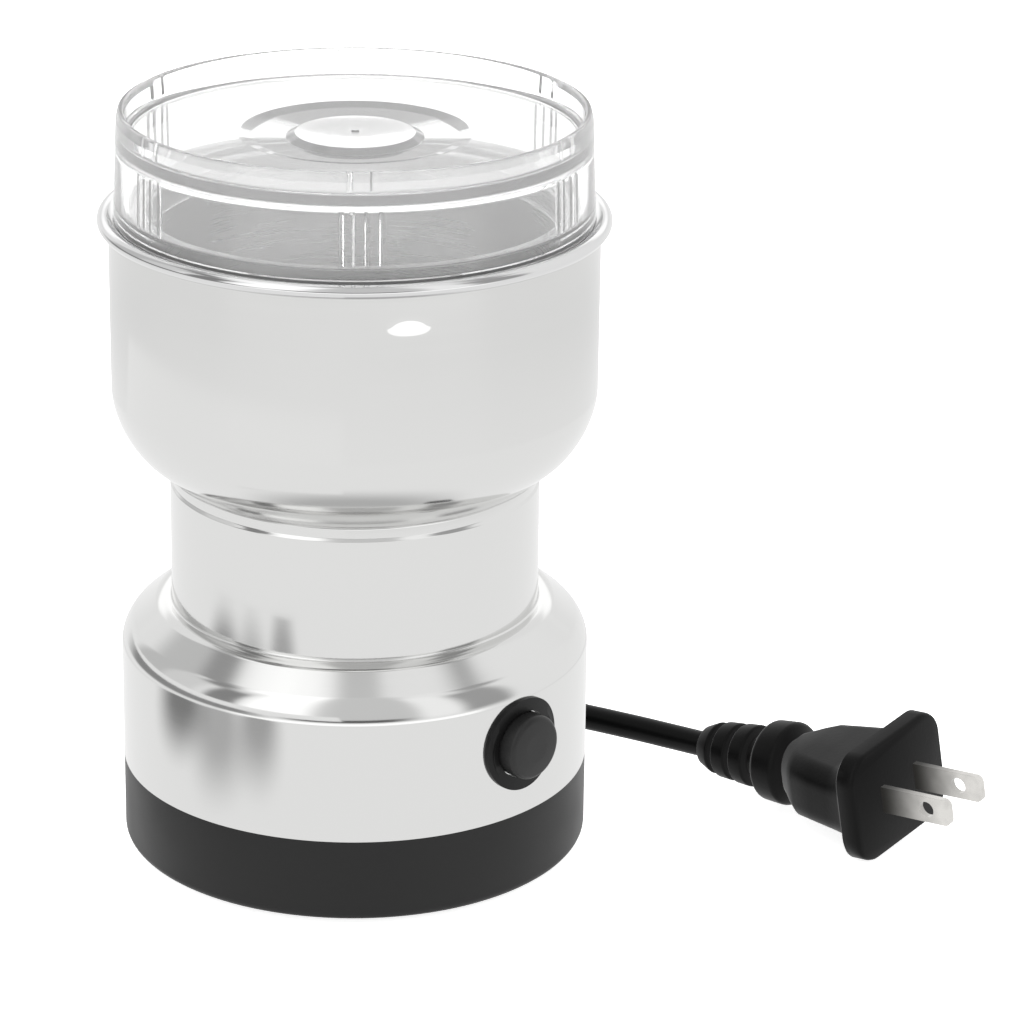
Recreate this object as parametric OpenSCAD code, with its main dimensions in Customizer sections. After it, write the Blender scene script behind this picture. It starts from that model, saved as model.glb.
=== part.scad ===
// Electric spice grinder: a steel bowl on a waisted steel motor housing, a black base,
// a clear lid that lifts off, a push button on the front and a two-blade mains lead.
// Millimetres, +Z up, origin on the floor under the middle of the grinder.

/* [Base] */
// Height of the rubber feet below the base
foot_h = 1.5; // [1:0.1:2.5]
// Radius of the rubber feet
foot_r = 6; // [4:0.5:7]
// Outer radius of the base and of the steel wall above it
base_r = 52; // [50:0.5:58]
// Height of the black base
base_h = 18.9; // [17:0.1:24]
// Thickness of the base's wall
base_wall = 2.8; // [2:0.1:3.2]
// Thickness of the base's floor
base_floor = 2.4; // [2:0.1:3.5]
// Height of the collar that centres the steel wall on the base
collar_h = 4; // [3:0.5:6]
// Rounding of the base's bottom edge
base_edge_r = 2; // [0.5:0.5:2.5]
// Distance of the base's screws from its outside
screw_inset = 9; // [8.5:0.5:11]
// Distance of the outer ring of vents from the base's outside
vent_inset = 23; // [22:0.5:25]

/* [Lower housing] */
// Thickness of the pressed stainless sheet
sheet_t = 0.6; // [0.5:0.1:0.8]
// Height of the straight steel wall, from the base to the shoulder
wall_h = 29.65; // [27:0.5:40]
// Height of the sloping shoulder
shoulder_h = 10.9; // [9:0.1:14]
// How far the neck stands inside the bowl's wall
neck_inset = 11.8; // [10.5:0.1:13]
// Height of the neck, from the shoulder to the bowl
neck_h = 27.8; // [26:0.1:34]
// Rounding of the ridge between the wall and the shoulder
ridge_r = 3; // [2:0.5:4]
// Rounding of the inside corner between the shoulder and the neck
throat_r = 5; // [3:0.5:7]
// Distance of the neck's small step below the bowl
neck_step_drop = 3.3; // [2.5:0.1:5]
// Depth of the neck's small step
neck_step = 0.4; // [0.2:0.1:0.6]

/* [Bowl] */
// Outer radius of the bowl
bowl_r = 52.6; // [51.6:0.1:54]
// How far the bowl's foot reaches past the neck that it stands on
foot_lip = 0.5; // [0.1:0.1:1]
// Width of the curve between the bowl's wall and its foot
bowl_curve_w = 16; // [15:0.5:17]
// Height of the same curve, if it ran on to flat
bowl_curve_h = 20; // [18:0.5:22]
// How far round the curve goes before it turns into a straight cone
bowl_curve_end = 57; // [52:1:60]
// Height of the bowl's straight wall
bowl_wall_h = 34.9; // [33:0.5:44]
// Radius of the roll at the rim
rim_roll_r = 1.5; // [1.4:0.1:1.8]
// Distance of the roll's centre from the bowl's wall
rim_reach = 1.5; // [1.4:0.1:2]

/* [Grinding chamber] */
// Gap between the chamber's wall and the bowl's wall
chamber_gap = 4; // [3.7:0.1:5.3]
// Depth of the chamber below its ledge
chamber_depth = 50.5; // [46:0.5:51]
// Thickness of the chamber's sheet
chamber_t = 0.7; // [0.5:0.1:0.8]
// Rounding of the corner at the chamber's floor
chamber_corner_r = 9; // [8:0.5:14]

/* [Lid] */
// How far the lid's foot stands inside the bowl's wall
lid_inset = 0.6; // [0.4:0.1:1.3]
// How much narrower the lid is at its top than at its foot
lid_draught = 0.9; // [0.4:0.1:1.4]
// Height of the lid above the ledge
lid_h = 23.6; // [22:0.1:30]
// Height of the lid's panel below its top edge
lid_recess = 5.6; // [5:0.1:7]
// Thickness of the lid's panel
lid_panel_t = 2; // [1.6:0.1:2.6]
// Thickness of the lid's wall at the top edge
lid_rim_t = 1.7; // [1.4:0.1:2]
// Thickness of the lid's wall below the panel
lid_wall_t = 2.6; // [2.2:0.1:3]
// Depth of the spigot that plugs into the chamber
spigot_depth = 6.1; // [5:0.1:8]
// Thickness of the spigot
spigot_t = 2; // [1.6:0.1:2.4]
// Radius of the flat disc in the middle of the panel
lid_disc_r = 12.9; // [10:0.1:14]
// Outer radius of the dished ring round the disc
lid_dish_r = 25; // [22:0.5:30]
// Depth of the dished ring
lid_dish = 1.1; // [0.6:0.1:1.2]
// Number of places round the lid's wall that have a pair of ribs
lid_rib_pairs = 6; // [3:1:8]

/* [Blade] */
// Radius swept by the tips of the blade
blade_reach = 39; // [34:0.5:41]
// Width of the blade's wings
blade_w = 13; // [11:0.5:15]
// Thickness of the blade
blade_t = 1.5; // [1.2:0.1:2]
// Height of the blade's middle above the chamber's floor
blade_lift = 9.2; // [9:0.1:12]
// Upward slope of the raised wing
wing_up = 22; // [15:1:26]
// Downward slope of the lowered wing
wing_down = 12; // [5:1:14]

/* [Button] */
// Angle of the button to the right of the front
button_angle = 44; // [35:1:50]
// Height of the button's axis above the base's bottom edge
button_z = 35.7; // [34:0.1:37]
// Diameter of the bezel's flange
bezel_d = 21; // [20:0.5:23]
// How far the bezel stands proud of the wall
bezel_proud = 0.9; // [0.7:0.1:1.8]
// Diameter of the button
button_d = 14.5; // [13:0.1:15]
// How far the button stands proud of the wall
button_proud = 4.5; // [4:0.1:6]
// Travel of the button
button_travel = 2.5; // [1.5:0.1:3]

/* [Motor] */
// Width of the stator's laminations
stator_w = 50; // [48:0.5:52]
// Depth of the stator's laminations
stator_d = 44; // [42:0.5:46]
// Height of the lamination stack
stack_h = 24; // [20:0.5:26]
// Radius of the armature
armature_r = 13.8; // [13:0.1:14]
// Air gap between the armature and the stator
air_gap = 0.5; // [0.4:0.05:0.7]
// Radius of the shaft at the bearings and the blade
shaft_r = 3; // [2.5:0.1:3.5]
// Radius of the cooling fan
fan_r = 21; // [18:0.5:21.5]
// Number of the fan's blades
fan_blades = 9; // [7:1:13]
// Number of the armature's slots and of the commutator's bars
slots = 10; // [8:1:12]

/* [Mains lead] */
// Diameter of the cord
cord_d = 6; // [5:0.1:6.4]
// Angle of the cord's exit to the left of straight back
cord_exit_angle = 23; // [20:1:26]
// Height of the cord's exit above the base's bottom edge
cord_exit_z = 10; // [9:0.5:11]
// Length of the strain relief's tapered boot outside the wall
boot_l = 22; // [20:0.5:26]
// Mean radius of the lead's coil
coil_r = 36; // [34:0.5:38]
// Length of the plug, from the end of its strain relief to its face
plug_l = 54.5; // [50:0.5:58]
// Width of the plug's flange
plug_w = 34.5; // [30:0.5:36]
// Height of the plug's flange
plug_h = 26; // [22:0.5:27]
// Distance between the middles of the plug's blades
pin_gap = 12.7; // [12.7:0.1:12.8]
// Width of the plug's blades
pin_w = 6.35; // [6.2:0.05:6.5]
// Length of the plug's blades
pin_l = 18.2; // [16:0.1:18.2]

/* [Fits] */
// Gap between loose neighbours
fit_gap = 0.3; // [0.2:0.05:0.35]
// Radial clearance of the shaft in its bearings
running_gap = 0.05; // [0.02:0.01:0.08]

/* [Hidden] */
$fn = 96;

STEEL = [0.80, 0.80, 0.80];
BLACK = [0.13, 0.13, 0.13];
RUBBER = [0.18, 0.18, 0.18];
CLEAR = [0.90, 0.92, 0.93, 0.35];
BRASS = [0.80, 0.66, 0.36];
COPPER = [0.75, 0.42, 0.22];
LAMINATION = [0.45, 0.46, 0.48];
NYLON = [0.90, 0.89, 0.85];
CARBON = [0.20, 0.20, 0.20];

// Heights, from the floor up
base_bottom = foot_h;
base_top = base_bottom + base_h;
floor_top = base_bottom + base_floor;
collar_top = base_top + collar_h;
screw_circle_r = base_r - screw_inset;
vent_ring_r = base_r - vent_inset;
ridge_z = base_top + wall_h;
throat_z = ridge_z + shoulder_h;
neck_top = throat_z + neck_h;
neck_r = bowl_r - neck_inset;
bowl_foot_r = neck_r + foot_lip;
chamber_r = bowl_r - sheet_t - chamber_gap - chamber_t;
lid_r = bowl_r - lid_inset;
lid_top_r = lid_r - lid_draught;
// The bowl's curve ends where a straight cone of the same slope reaches the foot
curve_rise = bowl_curve_h * sin(bowl_curve_end);
curve_slope = bowl_curve_h * cos(bowl_curve_end) / (bowl_curve_w * sin(bowl_curve_end));
curve_end_r = bowl_r - bowl_curve_w * (1 - cos(bowl_curve_end));
foot_edge_h = 0.7;
bowl_curve_z = neck_top + foot_edge_h + (curve_end_r - bowl_foot_r) * curve_slope + curve_rise;
flange_z = bowl_curve_z + bowl_wall_h;
ledge_z = flange_z + sheet_t + chamber_t;
roll_z = flange_z + sheet_t;
roll_centre_r = bowl_r + rim_reach;
chamber_floor = ledge_z - chamber_depth;
lid_top = ledge_z + lid_h;
panel_top = lid_top - lid_recess;
panel_bottom = panel_top - lid_panel_t;

// Motor stack, hung from the top of the neck
housing_flange_r = 22;
pad_t = 1;
mount_circle_r = neck_r - 8.8;
mount_plate_t = 3;
mount_top = neck_top - sheet_t - pad_t;
mount_bottom = mount_top - mount_plate_t;
fan_h = 7;
fan_top = mount_bottom - 4.5;
fan_bottom = fan_top - fan_h;
winding_h = 7;
stack_top = fan_bottom - winding_h - 3;
stack_bottom = stack_top - stack_h;
commutator_h = 9;
commutator_r = 9;
riser_w = 1.6;
commutator_top = stack_bottom - winding_h;
commutator_bottom = commutator_top - commutator_h;
brush_z = commutator_bottom + commutator_h / 2;
brush_start = commutator_r - 1;
brush_l = 8;
holder_start = commutator_r + riser_w + 0.6;
holder_l = 15;
holder_h = 6.4;
lower_plate_t = 3;
lower_plate_top = commutator_bottom - 2;
lower_plate_bottom = lower_plate_top - lower_plate_t;
bearing_r = 6;
bearing_h = 6;
upper_bearing_r = 7;
rotor_r = shaft_r + 1;
bolt_r = 1.5;
bolt_x = 20.5;
bolt_y = 17;
// Length of thread that the bolts take in the upper bracket
bolt_grip = 11;
column_r = 4;
shaft_bottom = lower_plate_bottom - bearing_h + 2.5;
blade_z = chamber_floor + blade_lift;
nut_h = 5.4;
shaft_top = blade_z + blade_t + 3.2;
bush_flange_r = 13;
bush_barrel_r = 8;
bush_boss_r = 9;
bush_boss_h = 3.4;
seal_h = 2;
seal_r = 6.2;
chamber_hole_r = bush_barrel_r + 0.1;

// Button, measured along its own axis from the middle of the grinder
button_axis_z = base_bottom + button_z;
barrel_d = button_d + 3.7;
barrel_end = base_r - 11;
nut_t = 3;
nut_r = 12;
cap_skirt_d = button_d + 1.5;
cap_skirt_l = 1.2;
cap_shoulder = base_r - 4.7;
switch_rear = stator_w / 2 + 4;
switch_l = barrel_end - switch_rear;
switch_w = 19;
switch_h = 14;
plunger_r = 2;

// Screws of the base
pocket_r = 3.6;
pocket_h = 8;
screw_head_r = 3.1;
screw_head_h = 2.2;
screw_r = 1.5;
boss_r = 4.6;
tab_t = 1.2;
tab_z = collar_top + 0.6;
foot_recess = 1;

// Cord. The points of each free stretch lie where the lead rests, in the order it runs.
gland_z = base_bottom + cord_exit_z;
gland_flange_r = 6.8;
gland_flange_t = 1.8;
gland_r = 4.9;
inner_collar_r = 6.3;
clamp_r = base_r - 16;
clamp_boss_gap = 13;
coil_centre = [0, 103];
TAIL_ROUTE = [
    [-20.7, 48.8, 11.5], [-29, 68, 11.5], [-31, 74, 11.4], [-33, 80, 11], [-34.6, 87, 10.4],
    [-35.6, 95, 9.6], [-36, 103, 9]
];
LEAD_ROUTE = [
    [39, 103, 3], [39, 92, 3], [39, 82, 3], [39.6, 72, 3.3], [42, 62.5, 4.4], [46.5, 54.5, 5.8],
    [52.5, 47.5, 6.8], [59.8, 41.8, 7.4], [67.4, 36.4, 7.8], [75, 30.7, 8.2], [82.4, 24.4, 8.9]
];
// Where the plug's strain relief starts, and how the plug lies: turn, nose-up tilt and roll
PLUG_PLACE = [82.4, 24.4, 8.9];
PLUG_TURN = -42;
PLUG_TILT = 6.2;
PLUG_ROLL = 6.5;

// --- Outlines -------------------------------------------------------------------------------

function unit(v) = v / norm(v);
function flip(list) = [for (i = [len(list) - 1:-1:0]) list[i]];

// Points of an arc about c, from angle a0 to angle a1
function arc(c, r, a0, a1, steps = 8) =
    [for (i = [0:steps]) let (a = a0 + (a1 - a0) * i / steps) [c[0] + r * cos(a), c[1] + r * sin(a)]];

// The arc that rounds corner b, between neighbours a and c
function corner(a, b, c, r, steps) =
    let (u = unit(a - b), v = unit(c - b),
         half = acos(u * v) / 2,
         m = b + unit(u + v) * r / sin(half),
         p = b + u * r / tan(half) - m,
         q = b + v * r / tan(half) - m,
         turn = (cross(p, q) > 0 ? 1 : -1) * (180 - 2 * half))
    [for (i = [0:steps]) let (t = turn * i / steps)
        m + [p[0] * cos(t) - p[1] * sin(t), p[0] * sin(t) + p[1] * cos(t)]];

function xy(p) = [p[0], p[1]];
function radius(p) = len(p) > 2 ? p[2] : 0;

// A closed outline whose points are [x, y] or [x, y, rounding]
function rounded(pts, steps = 6) = let (n = len(pts)) [for (i = [0:n - 1]) each
    radius(pts[i]) == 0 ? [xy(pts[i])]
    : corner(xy(pts[(i + n - 1) % n]), xy(pts[i]), xy(pts[(i + 1) % n]), radius(pts[i]), steps)];

// An open path of the same kind of points
function rounded_path(pts, steps = 6) = let (n = len(pts)) [for (i = [0:n - 1]) each
    radius(pts[i]) == 0 ? [xy(pts[i])]
    : corner(xy(pts[i - 1]), xy(pts[i]), xy(pts[i + 1]), radius(pts[i]), steps)];

function left_of(a, b) = let (d = unit(b - a)) [-d[1], d[0]];

// The path moved to its left by t, with its stretches kept parallel
function beside(path, t) = let (n = len(path)) [for (i = [0:n - 1])
    let (n1 = i == 0 ? left_of(path[0], path[1]) : left_of(path[i - 1], path[i]),
         n2 = i == n - 1 ? n1 : left_of(path[i], path[i + 1]))
    path[i] + t * (n1 + n2) / (1 + n1 * n2)];

// Outline of a sheet of thickness t that lies to the left of the path
function sheet(path, t) = concat(path, flip(beside(path, t)));

// --- Placing --------------------------------------------------------------------------------

// Turns a shape made along +X so that it points outwards at an angle right of the front
module facing_front(angle, z) {
    translate([0, 0, z]) rotate([0, 0, angle - 90]) children();
}

// Turns a shape made along +X so that it points outwards at an angle left of straight back
module facing_back(angle, z) {
    translate([0, 0, z]) rotate([0, 0, 90 + angle]) children();
}

// A round bar along +X, from x0 to x1
module bar_x(r, x0, x1) {
    translate([x0, 0, 0]) rotate([0, 90, 0]) cylinder(r = r, h = x1 - x0);
}

// Copies at equal steps round the axis
module around(count, start = 0) {
    for (i = [0:count - 1]) rotate([0, 0, start + 360 / count * i]) children();
}

// --- Bowl, chamber and lid ------------------------------------------------------------------

module grinding_chamber() {
    path = concat(
        rounded_path([
            [chamber_hole_r, chamber_floor],
            [chamber_r, chamber_floor, chamber_corner_r],
            [chamber_r, ledge_z, 1.2],
            [roll_centre_r - 1.7, ledge_z]
        ], 8),
        arc([roll_centre_r, roll_z], rim_roll_r, 125, -95, 16)
    );
    color(STEEL) rotate_extrude() polygon(sheet(path, -chamber_t));
}

module bowl_shell() {
    curve = [for (i = [12:-1:0]) let (t = bowl_curve_end * i / 12)
        [bowl_r - bowl_curve_w * (1 - cos(t)), bowl_curve_z - bowl_curve_h * sin(t)]];
    path = concat(
        rounded_path([
            [bush_barrel_r + 6, neck_top],
            [bowl_foot_r - 0.4, neck_top, 0.6],
            curve[0]
        ], 4),
        [for (i = [1:12]) curve[i]],
        rounded_path([
            [bowl_r, flange_z - 2],
            [bowl_r, flange_z, 0.8],
            [roll_centre_r + 0.2, flange_z]
        ], 4)
    );
    color(STEEL) difference() {
        rotate_extrude() polygon(sheet(path, sheet_t));
        around(3, 90) translate([mount_circle_r, 0, neck_top - 1])
            cylinder(r = bolt_r + fit_gap, h = sheet_t + 2, $fn = 32);
    }
}

// Moulded ring that holds the chamber's floor up off the bowl and takes the mounting screws
module chamber_spacer() {
    bottom = neck_top + sheet_t;
    top = chamber_floor - chamber_t;
    h = top - bottom;
    color(BLACK) difference() {
        union() {
            translate([0, 0, bottom]) difference() {
                cylinder(r = mount_circle_r + 4.5, h = h);
                translate([0, 0, -1]) cylinder(r = mount_circle_r + 2.5, h = h + 2);
            }
            translate([0, 0, bottom]) cylinder(r = bush_barrel_r + 4, h = h);
            around(3, 90) translate([mount_circle_r, 0, bottom]) cylinder(r = 4, h = h, $fn = 48);
            around(6, 30) translate([bush_barrel_r + 2, -1, bottom])
                cube([mount_circle_r - bush_barrel_r + 1, 2, h]);
        }
        translate([0, 0, bottom - 1]) cylinder(r = bush_barrel_r + 0.1, h = h + 2);
        around(3, 90) translate([mount_circle_r, 0, bottom - 1])
            cylinder(r = bolt_r + 0.05, h = h, $fn = 32);
    }
}

module lid_outline() {
    wall_inner = lid_r - lid_wall_t;
    rim_inner = lid_top_r - lid_rim_t;
    spigot_r = chamber_r - 0.2;
    spigot_inner = spigot_r - spigot_t;
    foot_t = 2.4;
    polygon(rounded([
        [spigot_r, ledge_z - spigot_depth, 0.6],
        [spigot_r, ledge_z],
        [lid_r, ledge_z, 0.3],
        [lid_top_r, lid_top - 2],
        [lid_top_r - 0.5, lid_top, 0.5],
        [rim_inner, lid_top, 0.5],
        [rim_inner - 0.3, panel_top, 1.6],
        [lid_dish_r, panel_top],
        [lid_dish_r - 3, panel_top - 0.55 * lid_dish],
        [lid_disc_r + 2, panel_top - lid_dish, 0.5],
        [lid_disc_r + 0.2, panel_top - 0.2],
        [lid_disc_r - 0.1, panel_top],
        [0.9, panel_top],
        [0.7, panel_top + 0.5],
        [0, panel_top + 0.5],
        [0, panel_bottom],
        [wall_inner, panel_bottom, 1.8],
        [wall_inner, ledge_z + foot_t, 1],
        [spigot_inner, ledge_z + foot_t, 1],
        [spigot_inner, ledge_z - spigot_depth, 0.6]
    ]));
}

module lid() {
    rib_w = 0.7;
    rib_proud = 0.35;
    pair_gap = 4;
    inner_r = lid_r - lid_wall_t;
    color(CLEAR) union() {
        rotate_extrude() lid_outline();
        around(lid_rib_pairs, 90) for (side = [-1, 1])
            translate([inner_r - rib_proud, side * pair_gap / 2 - rib_w / 2, ledge_z + 2])
                cube([1.2, rib_w, panel_bottom - ledge_z - 2 + 0.5]);
        around(lid_rib_pairs, 90) for (side = [-1, 1])
            translate([lid_top_r - lid_rim_t - 0.3 - rib_proud, side * pair_gap / 2 - rib_w / 2,
                       panel_top - 0.5])
                cube([1, rib_w, lid_recess - 1]);
    }
}

// --- Blade and what carries it --------------------------------------------------------------

// One wing: a flat root, then a slope, cut to a swept outline and ground to an edge
module blade_wing(slope) {
    bend_r = 11;
    rise = (blade_reach - bend_r) * tan(slope);
    fall = rise < 0 ? rise : 0;
    top = rise > 0 ? rise : 0;
    side = rounded_path([[0, 0], [bend_r, 0, 3], [blade_reach + 2, rise * (blade_reach + 2 - bend_r)
        / (blade_reach - bend_r)]], 5);
    plan = rounded([
        [0, -blade_w * 0.42],
        [bend_r, -blade_w * 0.5, 4],
        [blade_reach - 5, -blade_w * 0.16, 5],
        [blade_reach - 0.6, blade_w * 0.3, 2],
        [blade_reach - 7, blade_w * 0.56, 4],
        [bend_r, blade_w * 0.5, 6],
        [0, blade_w * 0.42]
    ], 5);
    difference() {
        intersection() {
            translate([0, blade_w, 0]) rotate([90, 0, 0])
                linear_extrude(height = 2 * blade_w) polygon(sheet(side, blade_t));
            translate([0, 0, fall - 1]) linear_extrude(height = top - fall + blade_t + 6)
                polygon(plan);
        }
        // ground edge along the leading side
        translate([bend_r + 1, -blade_w * 0.5, blade_t * 0.35]) rotate([0, -slope, 0])
            rotate([0, 0, 10.5]) rotate([28, 0, 0]) translate([0, -6, 0])
                cube([blade_reach, 9.5, 6]);
    }
}

module grinding_blade() {
    color(STEEL) difference() {
        translate([0, 0, blade_z]) union() {
            blade_wing(wing_up);
            rotate([0, 0, 180]) blade_wing(-wing_down);
        }
        translate([0, 0, blade_z - 1]) cylinder(r = shaft_r + 0.02, h = blade_t + 2);
    }
}

// Six-sided hub that the blade is clamped to
module blade_hub() {
    bottom = chamber_floor + bush_boss_h + seal_h - 1 + fit_gap;
    color(BRASS) difference() {
        union() {
            translate([0, 0, bottom]) cylinder(r = 5.2, h = blade_z - bottom);
            translate([0, 0, bottom + 1.2]) cylinder(r = 6.6, h = blade_z - bottom - 1.2, $fn = 6);
        }
        translate([0, 0, bottom - 1]) cylinder(r = shaft_r + 0.02, h = blade_z - bottom + 2);
    }
}

module blade_nut() {
    bottom = blade_z + blade_t;
    color(STEEL) difference() {
        union() {
            translate([0, 0, bottom]) cylinder(r = 5.6, h = 3, $fn = 6);
            translate([0, 0, bottom + 2]) rotate_extrude() polygon(concat(
                [[0, 0], [4.6, 0]], arc([0, nut_h - 2 - 4.6], 4.6, 40, 90, 8)));
        }
        translate([0, 0, bottom - 1]) cylinder(r = shaft_r + 0.02, h = shaft_top - bottom + 1.2);
    }
}

// Flanged bush that carries the shaft's seal through the chamber's floor
module chamber_bush() {
    bottom = neck_top + sheet_t;
    flange_t = 1.6;
    outline = rounded([
        [shaft_r + fit_gap, bottom],
        [bush_barrel_r, bottom],
        [bush_barrel_r, chamber_floor],
        [bush_flange_r, chamber_floor],
        [bush_flange_r, chamber_floor + flange_t, 0.8],
        [bush_boss_r, chamber_floor + flange_t, 0.8],
        [bush_boss_r - 0.4, chamber_floor + bush_boss_h, 0.5],
        [seal_r + 0.1, chamber_floor + bush_boss_h],
        [seal_r + 0.1, chamber_floor + bush_boss_h - seal_h + 1],
        [shaft_r + fit_gap, chamber_floor + bush_boss_h - seal_h + 1]
    ], 4);
    color(BLACK) rotate_extrude() polygon(outline);
}

module shaft_seal() {
    bottom = chamber_floor + bush_boss_h - seal_h + 1;
    color(RUBBER) rotate_extrude() polygon(rounded([
        [shaft_r + 0.08, bottom + 0.7],
        [shaft_r + 1, bottom],
        [seal_r, bottom],
        [seal_r, bottom + seal_h - 0.2, 0.4],
        [shaft_r + 1, bottom + seal_h - 0.2, 0.4],
        [shaft_r + 0.08, bottom + 1.3]
    ], 4));
}

// --- Housing and base -----------------------------------------------------------------------

// Small bracket welded inside the steel wall, with the hole that a base screw bites into
module housing_tab() {
    inner_r = base_r - sheet_t;
    translate([screw_circle_r, 0, 0]) difference() {
        union() {
            translate([-5, -5, tab_z]) cube([inner_r - screw_circle_r + 4.6, 10, tab_t]);
            translate([inner_r - screw_circle_r - 1.4, -5, tab_z]) cube([2, 10, 9]);
        }
        translate([0, 0, tab_z - 1]) cylinder(r = screw_r + 0.05, h = tab_t + 2, $fn = 32);
    }
}

module lower_housing() {
    neck_top_r = neck_r - neck_step;
    path = rounded_path([
        [base_r, base_top],
        [base_r, ridge_z, ridge_r],
        [neck_r, throat_z, throat_r],
        [neck_r, neck_top - neck_step_drop - 0.3, 0.3],
        [neck_top_r, neck_top - neck_step_drop + 0.3, 0.3],
        [neck_top_r, neck_top, 1],
        [housing_flange_r, neck_top]
    ], 8);
    color(STEEL) difference() {
        union() {
            rotate_extrude() polygon(sheet(path, sheet_t));
            around(3, 30) intersection() {
                housing_tab();
                cylinder(r = base_r - sheet_t / 2, h = ridge_z);
            }
        }
        facing_front(button_angle, button_axis_z)
            bar_x(barrel_d / 2 + 0.2, base_r - 6, base_r + 6);
        around(3, 90) translate([mount_circle_r, 0, neck_top - sheet_t - 1])
            cylinder(r = bolt_r + fit_gap, h = sheet_t + 2, $fn = 32);
    }
}

// Long slot with round ends, for the vents
module slot(l, w, h) {
    translate([-l / 2, -w / 2, 0]) cube([l, w, h]);
    for (side = [-1, 1]) translate([side * l / 2, 0, 0]) cylinder(r = w / 2, h = h, $fn = 24);
}

module base_cover() {
    inner_r = base_r - base_wall;
    collar_r = base_r - sheet_t - 0.15;
    outline = rounded([
        [0, base_bottom],
        [base_r, base_bottom, base_edge_r],
        [base_r, base_top],
        [collar_r, base_top],
        [collar_r, collar_top, 0.4],
        [inner_r, collar_top, 0.4],
        [inner_r, floor_top, 1.5],
        [0, floor_top]
    ]);
    color(BLACK) difference() {
        union() {
            rotate_extrude() polygon(outline);
            around(3, 30) {
                translate([screw_circle_r, 0, floor_top - 0.5])
                    cylinder(r = boss_r, h = tab_z - floor_top + 0.5, $fn = 48);
                translate([screw_circle_r + 2, -1, floor_top - 0.5])
                    cube([inner_r - screw_circle_r - 1, 2, collar_top - floor_top]);
            }
            // posts that the cord clamp is screwed to
            facing_back(cord_exit_angle, 0) for (side = [-1, 1])
                translate([clamp_r, side * clamp_boss_gap / 2, floor_top - 0.5])
                    cylinder(r = 3, h = gland_z - floor_top + 0.5, $fn = 36);
        }
        around(3, 30) translate([screw_circle_r, 0, 0]) {
            translate([0, 0, base_bottom - 1]) cylinder(r = pocket_r, h = pocket_h + 1, $fn = 36);
            translate([0, 0, base_bottom]) cylinder(r = screw_r + 0.2, h = tab_z, $fn = 32);
        }
        around(3, 90) translate([screw_circle_r - 1, 0, base_bottom - 1])
            cylinder(r = foot_r + 0.1, h = foot_recess + 1, $fn = 48);
        // two rings of vent slots under the motor
        around(16) translate([vent_ring_r - 12, 0, base_bottom - 1]) slot(7, 2.2, base_floor + 2);
        around(24) translate([vent_ring_r, 0, base_bottom - 1]) slot(8, 2.2, base_floor + 2);
        facing_back(cord_exit_angle, gland_z) bar_x(gland_r + 0.1, inner_r - 4, base_r + 4);
        facing_back(cord_exit_angle, 0) for (side = [-1, 1])
            translate([clamp_r, side * clamp_boss_gap / 2, floor_top + 1])
                cylinder(r = 1.05, h = gland_z, $fn = 24);
    }
}

module rubber_feet() {
    h = foot_h + foot_recess;
    color(RUBBER) around(3, 90) translate([screw_circle_r - 1, 0, 0]) rotate_extrude()
        polygon(rounded([[0, 0], [foot_r - 0.4, 0, 0.6], [foot_r, h], [0, h]], 4));
}

module base_screws() {
    seat = base_bottom + pocket_h;
    color(STEEL) around(3, 30) translate([screw_circle_r, 0, 0]) difference() {
        union() {
            translate([0, 0, seat - screw_head_h]) cylinder(r = screw_head_r, h = screw_head_h, $fn = 36);
            translate([0, 0, seat - 0.5]) cylinder(r = screw_r, h = tab_z + tab_t + 3 - seat, $fn = 32);
        }
        for (turn = [0, 90]) rotate([0, 0, turn]) translate([-1.8, -0.4, seat - screw_head_h - 1])
            cube([3.6, 0.8, 2]);
    }
}

// --- Button ---------------------------------------------------------------------------------

module button_bezel() {
    face = base_r + bezel_proud;
    color(BLACK) facing_front(button_angle, button_axis_z) difference() {
        union() {
            // the flange follows the wall that it lies on
            difference() {
                intersection() {
                    bar_x(bezel_d / 2, base_r - 3, face + 1);
                    translate([0, 0, -bezel_d]) cylinder(r = face, h = 2 * bezel_d, $fn = 180);
                }
                translate([0, 0, -bezel_d]) cylinder(r = base_r, h = 2 * bezel_d, $fn = 180);
            }
            bar_x(barrel_d / 2, barrel_end, base_r + 0.4);
        }
        bar_x(button_d / 2 + fit_gap, barrel_end - 1, face + 1);
        bar_x(cap_skirt_d / 2 + fit_gap, barrel_end - 1, cap_shoulder);
    }
}

// Ring nut that pulls the bezel against the wall from inside
module button_nut() {
    inner_r = base_r - sheet_t;
    back = sqrt(pow(inner_r, 2) - pow(nut_r + 0.2, 2));
    color(NYLON) facing_front(button_angle, button_axis_z) difference() {
        intersection() {
            translate([back - nut_t, 0, 0]) rotate([0, 90, 0])
                cylinder(r = nut_r, h = nut_t + 3, $fn = 6);
            translate([0, 0, -20]) cylinder(r = inner_r - 0.05, h = 40, $fn = 180);
        }
        bar_x(barrel_d / 2 + 0.05, back - nut_t - 1, base_r);
    }
}

module button_cap() {
    face = base_r + button_proud;
    back = cap_shoulder - 0.2 - cap_skirt_l;
    color(BLACK) facing_front(button_angle, button_axis_z) translate([back, 0, 0]) rotate([0, 90, 0])
        rotate_extrude() polygon(rounded([
            [0, button_travel - 0.5 - (back - barrel_end)],
            [plunger_r, button_travel - 0.5 - (back - barrel_end)],
            [plunger_r, 0],
            [cap_skirt_d / 2, 0],
            [cap_skirt_d / 2, cap_skirt_l],
            [button_d / 2, cap_skirt_l],
            [button_d / 2, face - back - 0.3, 1.2],
            [button_d / 2 - 4, face - back, 8],
            [0, face - back]
        ]));
}

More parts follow.
